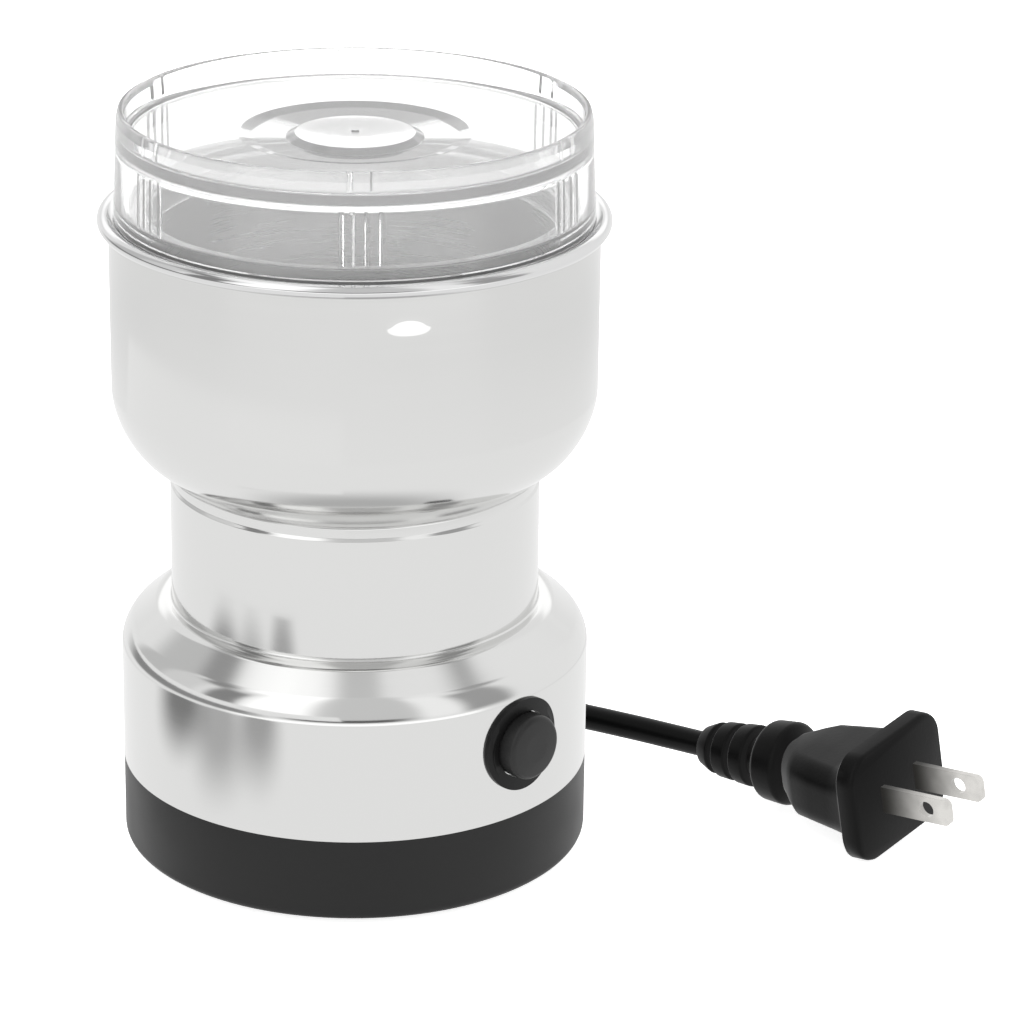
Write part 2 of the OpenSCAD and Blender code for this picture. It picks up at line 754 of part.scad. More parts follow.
module switch_body() {
    color(BLACK) facing_front(button_angle, button_axis_z) difference() {
        union() {
            translate([switch_rear, -switch_w / 2, -switch_h / 2])
                cube([switch_l, switch_w, switch_h]);
            bar_x(barrel_d / 2 + 1.2, barrel_end - 1.5, barrel_end + 2);
        }
        bar_x(barrel_d / 2 + 0.05, barrel_end, barrel_end + 3);
        bar_x(plunger_r + fit_gap, switch_rear + 3, barrel_end + 1);
    }
}

module switch_terminals() {
    x = barrel_end - switch_l / 2;
    color(BRASS) facing_front(button_angle, button_axis_z) for (side = [-1, 1])
        translate([x - 1.6, side * 5 - 0.4, -switch_h / 2 - 6]) difference() {
            cube([3.2, 0.8, 6]);
            translate([1.6, -1, 1.8]) rotate([-90, 0, 0]) cylinder(r = 0.7, h = 3, $fn = 24);
        }
}

// --- Motor ----------------------------------------------------------------------------------

// Turns the motor so that a flat side of its stator faces the switch
module motor_turned() {
    rotate([0, 0, button_angle - 90]) children();
}

// The two corners where the motor's long bolts run
module bolt_places() {
    for (side = [-1, 1]) translate([side * bolt_x, side * bolt_y, 0]) children();
}

module motor_shaft() {
    color(STEEL) union() {
        translate([0, 0, shaft_bottom]) cylinder(r = shaft_r, h = shaft_top - shaft_bottom, $fn = 48);
        translate([0, 0, commutator_bottom]) cylinder(r = rotor_r, h = fan_top + 1 - commutator_bottom,
            $fn = 48);
    }
}

module armature_core() {
    slot_r = 2;
    color(LAMINATION) translate([0, 0, stack_bottom]) difference() {
        cylinder(r = armature_r, h = stack_h);
        translate([0, 0, -1]) cylinder(r = rotor_r, h = stack_h + 2);
        around(slots) {
            translate([armature_r - slot_r - 1.2, 0, -1]) cylinder(r = slot_r, h = stack_h + 2, $fn = 24);
            translate([armature_r - 2, -0.7, -1]) cube([3, 1.4, stack_h + 2]);
        }
    }
}

// End turns above and below the core, joined through its slots
module armature_windings() {
    outer_r = armature_r - 1.4;
    inner_r = rotor_r + 0.6;
    color(COPPER) union() {
        for (z = [stack_bottom - winding_h + 0.6, stack_top]) translate([0, 0, z]) rotate_extrude()
            polygon(rounded([[inner_r, 0], [outer_r, 0, 2], [outer_r, winding_h - 0.6, 2.5],
                [inner_r, winding_h - 0.6]]));
        around(slots) translate([armature_r - 3.2, 0, stack_bottom - 1])
            cylinder(r = 1.8, h = stack_h + 2, $fn = 24);
    }
}

module commutator() {
    color(COPPER) translate([0, 0, commutator_bottom]) difference() {
        union() {
            cylinder(r = commutator_r, h = commutator_h);
            translate([0, 0, commutator_h - 1.6]) cylinder(r = commutator_r + riser_w, h = 1.6);
        }
        translate([0, 0, -1]) cylinder(r = rotor_r, h = commutator_h + 2);
        around(slots, 180 / slots) translate([commutator_r - 1, -0.25, -1])
            cube([4, 0.5, commutator_h + 2]);
    }
}

module cooling_fan() {
    hub_r = 7;
    plate_t = 1.2;
    color(NYLON) difference() {
        union() {
            translate([0, 0, fan_bottom]) cylinder(r = hub_r, h = fan_h);
            translate([0, 0, fan_bottom]) cylinder(r = fan_r, h = plate_t);
            around(fan_blades) intersection() {
                // each blade is a stretch of a thin curved wall
                translate([hub_r - 1, -14, fan_bottom]) difference() {
                    cylinder(r = 17, h = fan_h, $fn = 72);
                    translate([0, 0, -1]) cylinder(r = 15.9, h = fan_h + 2, $fn = 72);
                }
                translate([hub_r - 2, -3, fan_bottom]) cube([fan_r, 20, fan_h]);
                translate([0, 0, fan_bottom]) cylinder(r = fan_r, h = fan_h);
            }
        }
        translate([0, 0, fan_bottom - 1]) cylinder(r = rotor_r, h = fan_h + 2);
    }
}

module stator_core() {
    bore = armature_r + air_gap;
    window_r = 20.4;
    color(LAMINATION) motor_turned() translate([0, 0, stack_bottom]) difference() {
        linear_extrude(height = stack_h) polygon(rounded([
            [-stator_w / 2, -stator_d / 2, 5], [stator_w / 2, -stator_d / 2, 5],
            [stator_w / 2, stator_d / 2, 5], [-stator_w / 2, stator_d / 2, 5]
        ], 8));
        translate([0, 0, -1]) cylinder(r = bore, h = stack_h + 2);
        // the windows that the field coils pass through
        for (side = [0, 180]) rotate([0, 0, side - 40]) translate([0, 0, -1])
            rotate_extrude(angle = 80) translate([bore - 1, 0]) square([window_r - bore + 1, stack_h + 2]);
        bolt_places() translate([0, 0, -1]) cylinder(r = bolt_r + 0.2, h = stack_h + 2, $fn = 32);
    }
}

// Saddle-shaped field coil: two legs in the windows, joined over each end of the stack
module field_coils() {
    inner_r = armature_r + air_gap + 0.9;
    leg = 4.6;
    end_h = 6;
    color(COPPER) motor_turned() for (side = [0, 180]) rotate([0, 0, side]) union() {
        for (z = [stack_bottom - end_h - fit_gap, stack_top + fit_gap]) translate([0, 0, z])
            rotate([0, 0, 8]) rotate_extrude(angle = 164) translate([inner_r, 0])
                polygon(rounded([[0, 0, 1.2], [leg, 0, 1.2], [leg, end_h, 1.2], [0, end_h, 1.2]], 3));
        for (start = [10, 150]) rotate([0, 0, start]) translate([0, 0, stack_bottom - 2])
            rotate_extrude(angle = 20) translate([inner_r + 0.2, 0]) square([leg - 0.4, stack_h + 4]);
    }
}

module upper_bearing() {
    color(BRASS) rotate_extrude() polygon(rounded([
        [shaft_r + running_gap, fan_top + 2.2], [upper_bearing_r, fan_top + 2.2, 1],
        [upper_bearing_r, mount_top - 0.6, 1], [shaft_r + running_gap, mount_top - 0.6]
    ], 4));
}

module lower_bearing() {
    bottom = lower_plate_top - bearing_h;
    color(BRASS) rotate_extrude() polygon(rounded([
        [shaft_r + running_gap, bottom], [bearing_r, bottom, 1],
        [bearing_r, lower_plate_top - 0.4, 1], [shaft_r + running_gap, lower_plate_top - 0.4]
    ], 4));
}

// Moulded bracket that hangs the motor from the neck and holds the upper bearing
module upper_bracket() {
    hub_bottom = fan_top + 1.6;
    color(BLACK) difference() {
        union() {
            translate([0, 0, mount_bottom]) cylinder(r = mount_circle_r + 5, h = mount_plate_t);
            translate([0, 0, hub_bottom]) cylinder(r = upper_bearing_r + 2.4, h = mount_top - hub_bottom);
            motor_turned() bolt_places() translate([0, 0, stack_top])
                cylinder(r = column_r, h = mount_bottom - stack_top + 1, $fn = 48);
        }
        translate([0, 0, hub_bottom - 1]) cylinder(r = rotor_r + 0.4, h = mount_top - hub_bottom + 2);
        translate([0, 0, fan_top + 2.2]) cylinder(r = upper_bearing_r, h = mount_top - fan_top);
        // air ways through the plate, between the columns and the mounting screws
        for (start = [20, 110, 220, 280]) rotate([0, 0, start]) translate([0, 0, mount_bottom - 1])
            rotate_extrude(angle = 30) translate([15, 0]) square([12, mount_plate_t + 2]);
        around(3, 90) translate([mount_circle_r, 0, mount_bottom - 1])
            cylinder(r = bolt_r + fit_gap, h = mount_plate_t + 2, $fn = 32);
        motor_turned() bolt_places() translate([0, 0, stack_top - 1])
            cylinder(r = bolt_r + 0.05, h = bolt_grip + 2, $fn = 32);
    }
}

// Moulded bracket that holds the lower bearing and the brush gear
module lower_bracket() {
    column_h = stack_bottom - lower_plate_top;
    plate_w = 2 * bearing_r + 6;
    reach = norm([bolt_x, bolt_y]);
    arm_l = 50;
    arm_w = 12;
    rest_l = 12;
    rest_w = 10;
    rest_top = brush_z - holder_h / 2;
    color(BLACK) motor_turned() difference() {
        union() {
            rotate([0, 0, atan2(bolt_y, bolt_x)])
                translate([-reach - column_r - 1, -plate_w / 2, lower_plate_bottom])
                    cube([2 * (reach + column_r + 1), plate_w, lower_plate_t]);
            // the arm that carries the brush gear is a little thinner than the plate
            translate([-arm_l / 2, -arm_w / 2, lower_plate_bottom + 0.5])
                cube([arm_l, arm_w, lower_plate_t - 0.8]);
            translate([0, 0, lower_plate_top - bearing_h - 0.8])
                cylinder(r = bearing_r + 2, h = bearing_h + 1.4);
            bolt_places() translate([0, 0, lower_plate_bottom])
                cylinder(r = column_r, h = column_h + lower_plate_t, $fn = 48);
            for (side = [-1, 1]) translate([side * 18 - rest_l / 2, -rest_w / 2, lower_plate_bottom + 1])
                cube([rest_l, rest_w, rest_top - lower_plate_bottom - 1]);
        }
        translate([0, 0, lower_plate_top - bearing_h]) cylinder(r = bearing_r, h = bearing_h + 2);
        translate([0, 0, lower_plate_bottom - 9]) cylinder(r = shaft_r + 0.6, h = 20);
        bolt_places() translate([0, 0, lower_plate_bottom - 1])
            cylinder(r = bolt_r + 0.2, h = column_h + lower_plate_t + 2, $fn = 32);
    }
}

module brush_holders() {
    w = 7;
    color(BRASS) motor_turned() for (side = [0, 180]) rotate([0, 0, side])
        translate([holder_start, -w / 2, brush_z - holder_h / 2]) difference() {
            cube([holder_l, w, holder_h]);
            translate([-1, 1, 1]) cube([holder_l, w - 2, holder_h - 2]);
        }
}

module carbon_brushes() {
    w = 4.8;
    h = 4.2;
    color(CARBON) motor_turned() for (side = [0, 180]) rotate([0, 0, side]) difference() {
        translate([brush_start, -w / 2, brush_z - h / 2]) cube([brush_l, w, h]);
        translate([0, 0, brush_z - h]) cylinder(r = commutator_r + 0.1, h = 2 * h);
    }
}

// Compression spring behind each brush
module brush_springs() {
    wire_r = 0.3;
    start = brush_start + brush_l + wire_r + 0.1;
    end = holder_start + holder_l - 1 - wire_r - 0.1;
    turns = 4;
    steps = 12 * turns;
    coil = 1.6;
    path = [for (i = [0:steps]) let (a = 360 * i * turns / steps)
        [start + (end - start) * i / steps, coil * cos(a), brush_z + coil * sin(a)]];
    color(STEEL) motor_turned() for (side = [0, 180]) rotate([0, 0, side])
        tube(path, wire_r, 5, [1, 0, 0]);
}

module motor_bolts() {
    color(STEEL) motor_turned() bolt_places() {
        translate([0, 0, lower_plate_bottom - 2.4]) cylinder(r = 2.9, h = 2.4, $fn = 36);
        translate([0, 0, lower_plate_bottom - 0.5])
            cylinder(r = bolt_r, h = stack_top + bolt_grip + 0.5 - lower_plate_bottom, $fn = 32);
    }
}

module mounting_screws() {
    color(STEEL) around(3, 90) translate([mount_circle_r, 0, 0]) {
        translate([0, 0, mount_bottom - 2.2]) cylinder(r = 2.9, h = 2.2, $fn = 36);
        translate([0, 0, mount_bottom - 0.5])
            cylinder(r = bolt_r, h = neck_top + sheet_t + 3.4 - mount_bottom, $fn = 32);
    }
}

module mounting_pads() {
    color(RUBBER) around(3, 90) translate([mount_circle_r, 0, mount_top]) difference() {
        cylinder(r = 4.6, h = pad_t, $fn = 48);
        translate([0, 0, -1]) cylinder(r = bolt_r + fit_gap, h = pad_t + 2, $fn = 32);
    }
}

// --- Mains lead -----------------------------------------------------------------------------

// A tube swept along a path, with flat ends. No stretch of the path may run along across.
module tube(path, r, sides, across = [0, 0, 1]) {
    n = len(path);
    dir = [for (i = [0:n - 1]) unit(path[min(i + 1, n - 1)] - path[max(i - 1, 0)])];
    rings = [for (i = [0:n - 1]) let (
            d = dir[i],
            u = unit(cross(d, across)),
            v = cross(d, u))
        [for (k = [0:sides - 1]) let (a = 360 * (k + 0.5) / sides)
            path[i] + r * (u * cos(a) + v * sin(a))]];
    wall = [for (i = [0:n - 2]) for (k = [0:sides - 1])
        let (a = i * sides + k, b = i * sides + (k + 1) % sides)
        each [[a, a + sides, b + sides], [a, b + sides, b]]];
    start = [for (k = [0:sides - 1]) k];
    finish = [for (k = [sides - 1:-1:0]) (n - 1) * sides + k];
    polyhedron([for (ring = rings) each ring], concat(wall, [start, finish]));
}

module cord_gland() {
    inner_r = base_r - base_wall;
    collar_face = sqrt(inner_r * inner_r - inner_collar_r * inner_collar_r) - 0.05;
    bore = cord_d / 2 + 0.05;
    tip = base_r + boot_l;
    color(BLACK) facing_back(cord_exit_angle, gland_z) difference() {
        union() {
            difference() {
                bar_x(gland_flange_r, base_r - 2, base_r + gland_flange_t);
                translate([0, 0, -20]) cylinder(r = base_r + 0.02, h = 40, $fn = 180);
            }
            bar_x(gland_r, collar_face - 3, base_r + 1);
            bar_x(inner_collar_r, collar_face - 3, collar_face);
            translate([base_r, 0, 0]) rotate([0, 90, 0]) rotate_extrude() polygon(rounded([
                [0, 0], [gland_r + 0.6, 0], [gland_r + 0.6, gland_flange_t + 0.5],
                [cord_d / 2 + 1, tip - base_r, 0.4], [0, tip - base_r]
            ]));
        }
        bar_x(bore, collar_face - 4, tip + 1);
        // flexing cuts across the boot, on alternate sides
        for (i = [0:3], side = [-1, 1])
            translate([base_r + 5 + 4 * i + side, side * (cord_d / 2 + 0.9) - 1.5, -8]) cube([1, 3, 16]);
    }
}

module inner_cord() {
    color(BLACK) facing_back(cord_exit_angle, gland_z)
        bar_x(cord_d / 2, clamp_r - 6, norm(xy(TAIL_ROUTE[0])));
}

// Saddle that presses the cord onto its two posts
module cord_clamp() {
    l = clamp_boss_gap + 6;
    color(NYLON) facing_back(cord_exit_angle, gland_z) difference() {
        translate([clamp_r - 3, -l / 2, 0]) cube([6, l, cord_d / 2 + 1.8]);
        bar_x(cord_d / 2, clamp_r - 4, clamp_r + 4);
        for (side = [-1, 1]) translate([clamp_r, side * clamp_boss_gap / 2, -1])
            cylinder(r = 1.3, h = 12, $fn = 24);
    }
}

module clamp_screws() {
    top = gland_z + cord_d / 2 + 1.8;
    color(STEEL) facing_back(cord_exit_angle, 0) for (side = [-1, 1])
        translate([clamp_r, side * clamp_boss_gap / 2, 0]) {
            translate([0, 0, top]) cylinder(r = 2.2, h = 1.6, $fn = 32);
            translate([0, 0, floor_top + 2]) cylinder(r = 1, h = top + 0.2 - floor_top - 2, $fn = 24);
        }
}

module cord_tail() {
    color(BLACK) tube(TAIL_ROUTE, cord_d / 2, 8);
}

module cord_lead() {
    color(BLACK) tube(LEAD_ROUTE, cord_d / 2, 8);
}

// Outer shape of the coiled length: two turns side by side with one more on top
module cord_coil() {
    r = cord_d / 2;
    color(BLACK) translate([coil_centre[0], coil_centre[1], 0]) rotate_extrude()
        polygon(concat(
            arc([coil_r - r, r], r, 270, 160, 5),
            arc([coil_r, 3 * r], r, 160, 20, 6),
            arc([coil_r + r, r], r, 20, -90, 5)
        ));
}

// Puts a shape made along +X, from the end of the strain relief, where the plug lies
module plug_place() {
    translate(PLUG_PLACE) rotate([0, 0, PLUG_TURN]) rotate([0, -PLUG_TILT, 0]) rotate([PLUG_ROLL, 0, 0])
        children();
}

// A thin rounded plate across the plug's axis
module plug_section(x, w, h, r) {
    translate([x, 0, 0]) rotate([90, 0, 90]) linear_extrude(height = 0.1) polygon(rounded([
        [-w / 2, -h / 2, r], [w / 2, -h / 2, r], [w / 2, h / 2, r], [-w / 2, h / 2, r]
    ], 5));
}

module plug_body() {
    flange_t = 4.8;
    flange_back = plug_l - flange_t;
    rib_pitch = 5.4;
    collar_x = 18.8;
    collar_w = 6.6;
    collar_r = 9.8;
    neck_w = 14;
    shoulder_x = collar_x + collar_w + 7.5;
    wedge_h = plug_h * 0.6;
    color(BLACK) plug_place() difference() {
        union() {
            // ribbed strain relief, then the round collar
            rotate([0, 90, 0]) rotate_extrude() polygon(concat(
                [[0, 0]],
                rounded_path(concat(
                    [for (i = [0:2]) let (x = rib_pitch * i, r = cord_d / 2 + 0.5 * i) each [
                        [r + (i == 0 ? 1.6 : 3), x, i == 0 ? 0 : 0.5],
                        [r + 3.3, x + 3.9, 0.5],
                        [r + 1.8, x + 4.2],
                        [r + 1.9, x + 5.2]
                    ]],
                    [[cord_d / 2 + 2.9, collar_x - 1], [collar_r - 0.5, collar_x, 1.5],
                     [collar_r, collar_x + collar_w, 1.8], [neck_w / 2, collar_x + collar_w + 1.6]]
                ), 4),
                [[neck_w / 2, collar_x + collar_w + 3], [0, collar_x + collar_w + 3]]
            ));
            // the neck widens into a flat wedge that carries the flange
            hull() {
                plug_section(collar_x + collar_w + 1, neck_w, neck_w, 6);
                plug_section(shoulder_x, plug_w * 0.7, wedge_h, 5);
            }
            hull() {
                plug_section(shoulder_x, plug_w * 0.7, wedge_h, 5);
                plug_section(flange_back + 0.5, plug_w - 2, wedge_h, 5);
            }
            translate([flange_back, 0, 0]) rotate([90, 0, 90]) linear_extrude(height = flange_t)
                polygon(rounded([
                    [-plug_w / 2, -plug_h / 2, 6.5], [plug_w / 2, -plug_h / 2, 6.5],
                    [plug_w / 2, plug_h / 2, 6.5], [-plug_w / 2, plug_h / 2, 6.5]
                ], 6));
        }
        for (side = [-1, 1]) translate([plug_l - 6, side * pin_gap / 2 - 0.8, -pin_w / 2 - 0.05])
            cube([7, 1.6, pin_w + 0.1]);
    }
}

module plug_blades() {
    t = 1.5;
    tip = plug_l + pin_l;
    color(STEEL) plug_place() for (side = [-1, 1]) translate([0, side * pin_gap / 2 + t / 2, 0])
        rotate([90, 0, 0]) linear_extrude(height = t) difference() {
            polygon(rounded([
                [plug_l - 5.9, -pin_w / 2], [tip, -pin_w / 2, 1.6], [tip, pin_w / 2, 1.6],
                [plug_l - 5.9, pin_w / 2]
            ], 5));
            translate([plug_l + 12, 0]) circle(r = 1.6, $fn = 32);
        }
}

lid();
grinding_chamber();
bowl_shell();
lower_housing();
base_cover();
rubber_feet();
base_screws();
button_bezel();
button_nut();
button_cap();
switch_body();
switch_terminals();
grinding_blade();
blade_hub();
blade_nut();
shaft_seal();
chamber_bush();
chamber_spacer();
motor_shaft();
armature_core();
armature_windings();
commutator();
cooling_fan();
upper_bearing();
lower_bearing();
upper_bracket();
lower_bracket();
stator_core();
field_coils();
brush_holders();
carbon_brushes();
brush_springs();
motor_bolts();
mounting_screws();
mounting_pads();
cord_clamp();
clamp_screws();
inner_cord();
cord_gland();
cord_tail();
cord_coil();
cord_lead();
plug_body();
plug_blades();
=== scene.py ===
# %% [markdown]
# # An electric spice grinder in steel, clear plastic and black ABS
#
# The grinder is a stack of turned forms: a black base, a waisted steel housing, a steel bowl
# and a clear lid. Almost everything that shows is a surface of revolution, so most cells draw
# half an outline and spin it. The exact construction model comes in first. It is the frame
# that fixes every size, and each dressed piece is laid over the solid that it stands for.

# %% Bring in the construction model
import math

import bmesh
import bpy
from mathutils import Matrix, Vector


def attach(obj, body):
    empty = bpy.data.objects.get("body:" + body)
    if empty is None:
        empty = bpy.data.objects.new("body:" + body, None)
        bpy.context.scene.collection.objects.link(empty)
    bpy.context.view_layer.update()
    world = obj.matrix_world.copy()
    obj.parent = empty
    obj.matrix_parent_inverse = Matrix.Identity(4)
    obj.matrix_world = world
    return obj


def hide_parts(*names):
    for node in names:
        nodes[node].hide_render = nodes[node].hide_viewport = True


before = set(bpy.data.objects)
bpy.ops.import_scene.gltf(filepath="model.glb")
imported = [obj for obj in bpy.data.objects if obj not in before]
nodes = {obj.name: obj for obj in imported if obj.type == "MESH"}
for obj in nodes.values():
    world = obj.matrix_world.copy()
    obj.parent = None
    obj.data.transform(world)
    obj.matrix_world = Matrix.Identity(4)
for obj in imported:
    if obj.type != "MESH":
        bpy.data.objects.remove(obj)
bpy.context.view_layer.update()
MM = 0.001
print("construction model:", len(nodes), "nodes")

# %% [markdown]
# ## The camera
#
# A long lens from just under a metre gives the gentle perspective of a catalogue shot. The
# camera looks down on the lid by about 21 degrees. It is turned a little to the right, so the
# grinder stands left of the middle and leaves room for the plug.

# %% Place the camera
camera_data = bpy.data.cameras.new("catalogue_lens")
camera_data.sensor_width = 36
camera_data.lens = 145.45
camera_data.clip_start = 0.05
camera = bpy.data.objects.new("catalogue_camera", camera_data)
bpy.context.collection.objects.link(camera)
bpy.context.scene.camera = camera
LOOK_DOWN = math.radians(20.86)
LOOK_RIGHT = math.radians(2.17)
tilt = Matrix.Rotation(math.pi / 2 - LOOK_DOWN, 4, "X") @ Matrix.Rotation(-LOOK_RIGHT, 4, "Y")
camera.matrix_world = Matrix.Translation((0, -0.8573, 0.4032)) @ tilt
print("camera at", [round(x, 3) for x in camera.matrix_world.translation])

# %% [markdown]
# ## Colour and shader nodes
#
# Colours are easiest to read as the hex values of a colour picker. Those are sRGB, and
# Blender's shaders work in linear light, so one function turns one into the other. A second
# small function adds a shader node with its settings and its links, which keeps each
# material down to the few lines that matter.


# %% Two helpers for materials
def colour(code):
    """Linear RGBA from an sRGB hex code."""
    parts = [int(code[i : i + 2], 16) / 255 for i in (1, 3, 5)]
    return [p / 12.92 if p <= 0.04045 else ((p + 0.055) / 1.055) ** 2.4 for p in parts] + [1]


def add(tree, kind, inputs=(), **settings):
    """A node of that kind. Inputs are pairs of a socket's name or number and a value or socket."""
    made = tree.nodes.new(kind)
    for name, value in settings.items():
        setattr(made, name, value)
    for key, value in dict(inputs).items():
        if isinstance(value, bpy.types.NodeSocket):
            tree.links.new(value, made.inputs[key])
        else:
            made.inputs[key].default_value = value
    return made


def finish_named(name, **sockets):
    """A new material with a Principled shader whose sockets are set, and its tree and shader."""
    material = bpy.data.materials.new(name)
    material.use_nodes = True
    shader = material.node_tree.nodes["Principled BSDF"]
    for key, value in sockets.items():
        shader.inputs[key.replace("_", " ")].default_value = value
    return material, material.node_tree, shader


# %% [markdown]
# ## Satin stainless steel
#
# The bowl and the housing are deep-drawn sheet, polished on a turning mandrel with a fine
# mop. The mop leaves faint lines that run round the piece. They spread a reflection up and
# down more than sideways, and that is what gives the steel its soft, silky bands. The real
# lines are about 0.02 mm apart, far too fine to show, so the pattern is drawn at 0.4 mm and
# kept very weak. Larger soft patches stand for the uneven pressure of the mop.


# %% Make the steel finishes
LINE_DEPTH = 0.02 * MM


def turned_lines(tree, spacing_mm, seed):
    """Noise that changes fast along Z and slowly round the piece."""
    where = add(tree, "ShaderNodeTexCoord")
    per_metre = 1 / (spacing_mm * MM)
    stretch = add(
        tree,
        "ShaderNodeMapping",
        {"Vector": where.outputs["Object"], "Scale": (18, 18, per_metre), "Location": (seed, 0, 0)},
    )
    return add(tree, "ShaderNodeTexNoise", {"Vector": stretch.outputs[0], "Scale": 1, "Detail": 2})


def patches(tree, size_mm):
    """Soft noise whose blobs are about that wide."""
    where = add(tree, "ShaderNodeTexCoord")
    return add(
        tree,
        "ShaderNodeTexNoise",
        {"Vector": where.outputs["Object"], "Scale": 1 / (size_mm * MM), "Detail": 1},
    )


def steel(name, code, smooth, rough, bump):
    """Polished stainless whose roughness wanders from smooth to rough."""
    material, tree, shader = finish_named(name, Base_Color=colour(code), Metallic=1.0)
    lines = turned_lines(tree, spacing_mm=0.4, seed=3.1)
    cloud = patches(tree, size_mm=22)
    mixed = add(tree, "ShaderNodeMath", {0: lines.outputs[0], 1: cloud.outputs[0]})
    spread = add(
        tree,
        "ShaderNodeMapRange",
        {
            "Value": mixed.outputs[0],
            "From Min": 0.6, "From Max": 1.4, "To Min": smooth, "To Max": rough,
        },
    )
    raised = add(
        tree,
        "ShaderNodeBump",
        {"Height": lines.outputs[0], "Strength": bump, "Distance": LINE_DEPTH},
    )
    tree.links.new(spread.outputs[0], shader.inputs["Roughness"])
    tree.links.new(raised.outputs[0], shader.inputs["Normal"])
    return material


satin_steel = steel("stainless_430_satin_mopped", "#DEDEDD", 0.09, 0.13, 0.05)
bright_steel = steel("stainless_430_bright_polished", "#DCDCDC", 0.06, 0.10, 0.03)
# a rougher steel for the pan's inside, whose darker colour is painted shade inside the pan
shaded_inside_steel = steel("stainless_430_painted_inside_shade", "#C4C4C4", 0.24, 0.34, 0.05)
print("steel finishes made")

# %% [markdown]
# ## Clear moulded polystyrene
#
# The lid is injection-moulded general-purpose polystyrene, whose edges and ribs draw bright
# and dark lines. Its real IOR is 1.59, and 1.45 is set here, so that those lines stay as fine
# and pale as they look in soft light. Mould wear, dust and handling leave it very slightly
# milky, so a small share of it scatters light as a white paint would.

# %% Make the clear plastic
clear_ps, _, _ = finish_named(
    "clear_polystyrene_moulded",
    Base_Color=colour("#FFFFFF"),
    Roughness=0.02,
    IOR=1.45,
    Transmission_Weight=0.86,
)
print("clear plastic made")

# %% [markdown]
# ## Black plastics and rubber
#
# ABS for the base comes from a spark-eroded mould, which prints a fine matt grain of about
# 0.15 mm. It is drawn at 0.35 mm so that it shows. The button and its bezel come from a
# polished mould. The lead and the plug are soft PVC: the lead is extruded and a little shiny,
# while the plug has a leathery grain from its mould.


# %% Make the plastics and rubbers
def grained(name, code, rough, grain_mm, depth_mm, strength=0.5, gloss=0.5):
    """A plastic or rubber with a moulded grain of that size."""
    material, tree, shader = finish_named(
        name, Base_Color=colour(code), Roughness=rough, IOR=1.5, Specular_IOR_Level=gloss
    )
    where = add(tree, "ShaderNodeTexCoord")
    grain = add(
        tree,
        "ShaderNodeTexNoise",
        {"Vector": where.outputs["Object"], "Scale": 1 / (grain_mm * MM), "Detail": 2},
    )
    raised = add(
        tree,
        "ShaderNodeBump",
        {"Height": grain.outputs[0], "Strength": strength, "Distance": depth_mm * MM},
    )
    handled = patches(tree, size_mm=15)
    swing = 0.04
    shine = add(
        tree,
        "ShaderNodeMapRange",
        {
            "Value": handled.outputs[0],
            "From Min": 0.3, "From Max": 0.7, "To Min": rough - swing, "To Max": rough + swing,
        },
    )
    tree.links.new(raised.outputs[0], shader.inputs["Normal"])
    tree.links.new(shine.outputs[0], shader.inputs["Roughness"])
    return material


matt_abs = grained("black_abs_spark_eroded", "#151515", 0.42, 0.35, 0.02, 0.4, 0.28)
gloss_abs = grained("black_abs_polished_mould", "#0B0B0B", 0.32, 0.5, 0.01, 0.4, 0.22)
button_abs = grained("charcoal_abs_button", "#191919", 0.38, 0.5, 0.008, 0.3, 0.35)
cord_pvc = grained("black_pvc_extruded", "#080808", 0.36, 1.0, 0.01, 0.3, 0.12)
plug_pvc = grained("black_pvc_leather_grain", "#080808", 0.40, 0.9, 0.04, 0.5, 0.12)
foot_rubber = grained("black_nitrile_rubber", "#161616", 0.75, 0.5, 0.02)
nylon = grained("natural_nylon", "#E2DFD4", 0.45, 0.6, 0.01)
carbon = grained("pressed_carbon", "#151515", 0.6, 0.2, 0.01)
print("plastics and rubbers made")

# %% [markdown]
# ## Metals inside and on the plug
#
# The plug's blades are stamped brass with a nickel plating. Inside, the motor has bare
# electrical steel, copper wire under amber enamel, brass terminals, porous bronze bearings
# and zinc-plated screws.


# %% Make the small metals
def metal(name, code, smooth, rough, size_mm=4):
    """A bare or plated metal with a slightly uneven sheen."""
    material, tree, shader = finish_named(name, Base_Color=colour(code), Metallic=1.0)
    cloud = patches(tree, size_mm)
    spread = add(
        tree,
        "ShaderNodeMapRange",
        {
            "Value": cloud.outputs[0],
            "From Min": 0.3, "From Max": 0.7, "To Min": smooth, "To Max": rough,
        },
    )
    tree.links.new(spread.outputs[0], shader.inputs["Roughness"])
    return material


zinc = metal("steel_zinc_plated", "#BFC0BE", 0.28, 0.42)
brass = metal("brass_turned", "#C8A866", 0.22, 0.34)
bronze = metal("bronze_sintered", "#A98252", 0.45, 0.6)
copper = metal("copper_enamelled", "#B8703C", 0.22, 0.36, 1.2)
laminated = metal("electrical_steel_bare", "#6E7073", 0.35, 0.5)
print("metals made")

# %% [markdown]
# ## Drawing and spinning an outline
#
# Every turned piece starts as a chain of edges in the XZ plane: radius across, height up,
# in millimetres. Bevelling a vertex of the chain rounds that corner with a true arc, and a
# full spin turns the chain into a surface. Welding the first and last step, and the points
# that lie on the axis, closes the seam and the poles.


# %% Helpers for turned pieces
def chain(points):
    """A bmesh with edges through (radius, height, rounding) points in millimetres."""
    bm = bmesh.new()
    verts = [bm.verts.new((p[0] * MM, 0, p[1] * MM)) for p in points]
    for a, b in zip(verts, verts[1:]):
        bm.edges.new((a, b))
    for v, p in zip(verts, points):
        if len(p) > 2:
            ends = [(e.other_vert(v).co - v.co).normalized() for e in v.link_edges]
            half = ends[0].angle(ends[1]) / 2
            bmesh.ops.bevel(
                bm,
                geom=[v],
                offset=p[2] * MM / math.tan(half),
                offset_type="OFFSET",
                segments=min(28, max(5, round(p[2] * 4))),
                profile=0.5,
                affect="VERTICES",
                material=-1,
            )
    return bm


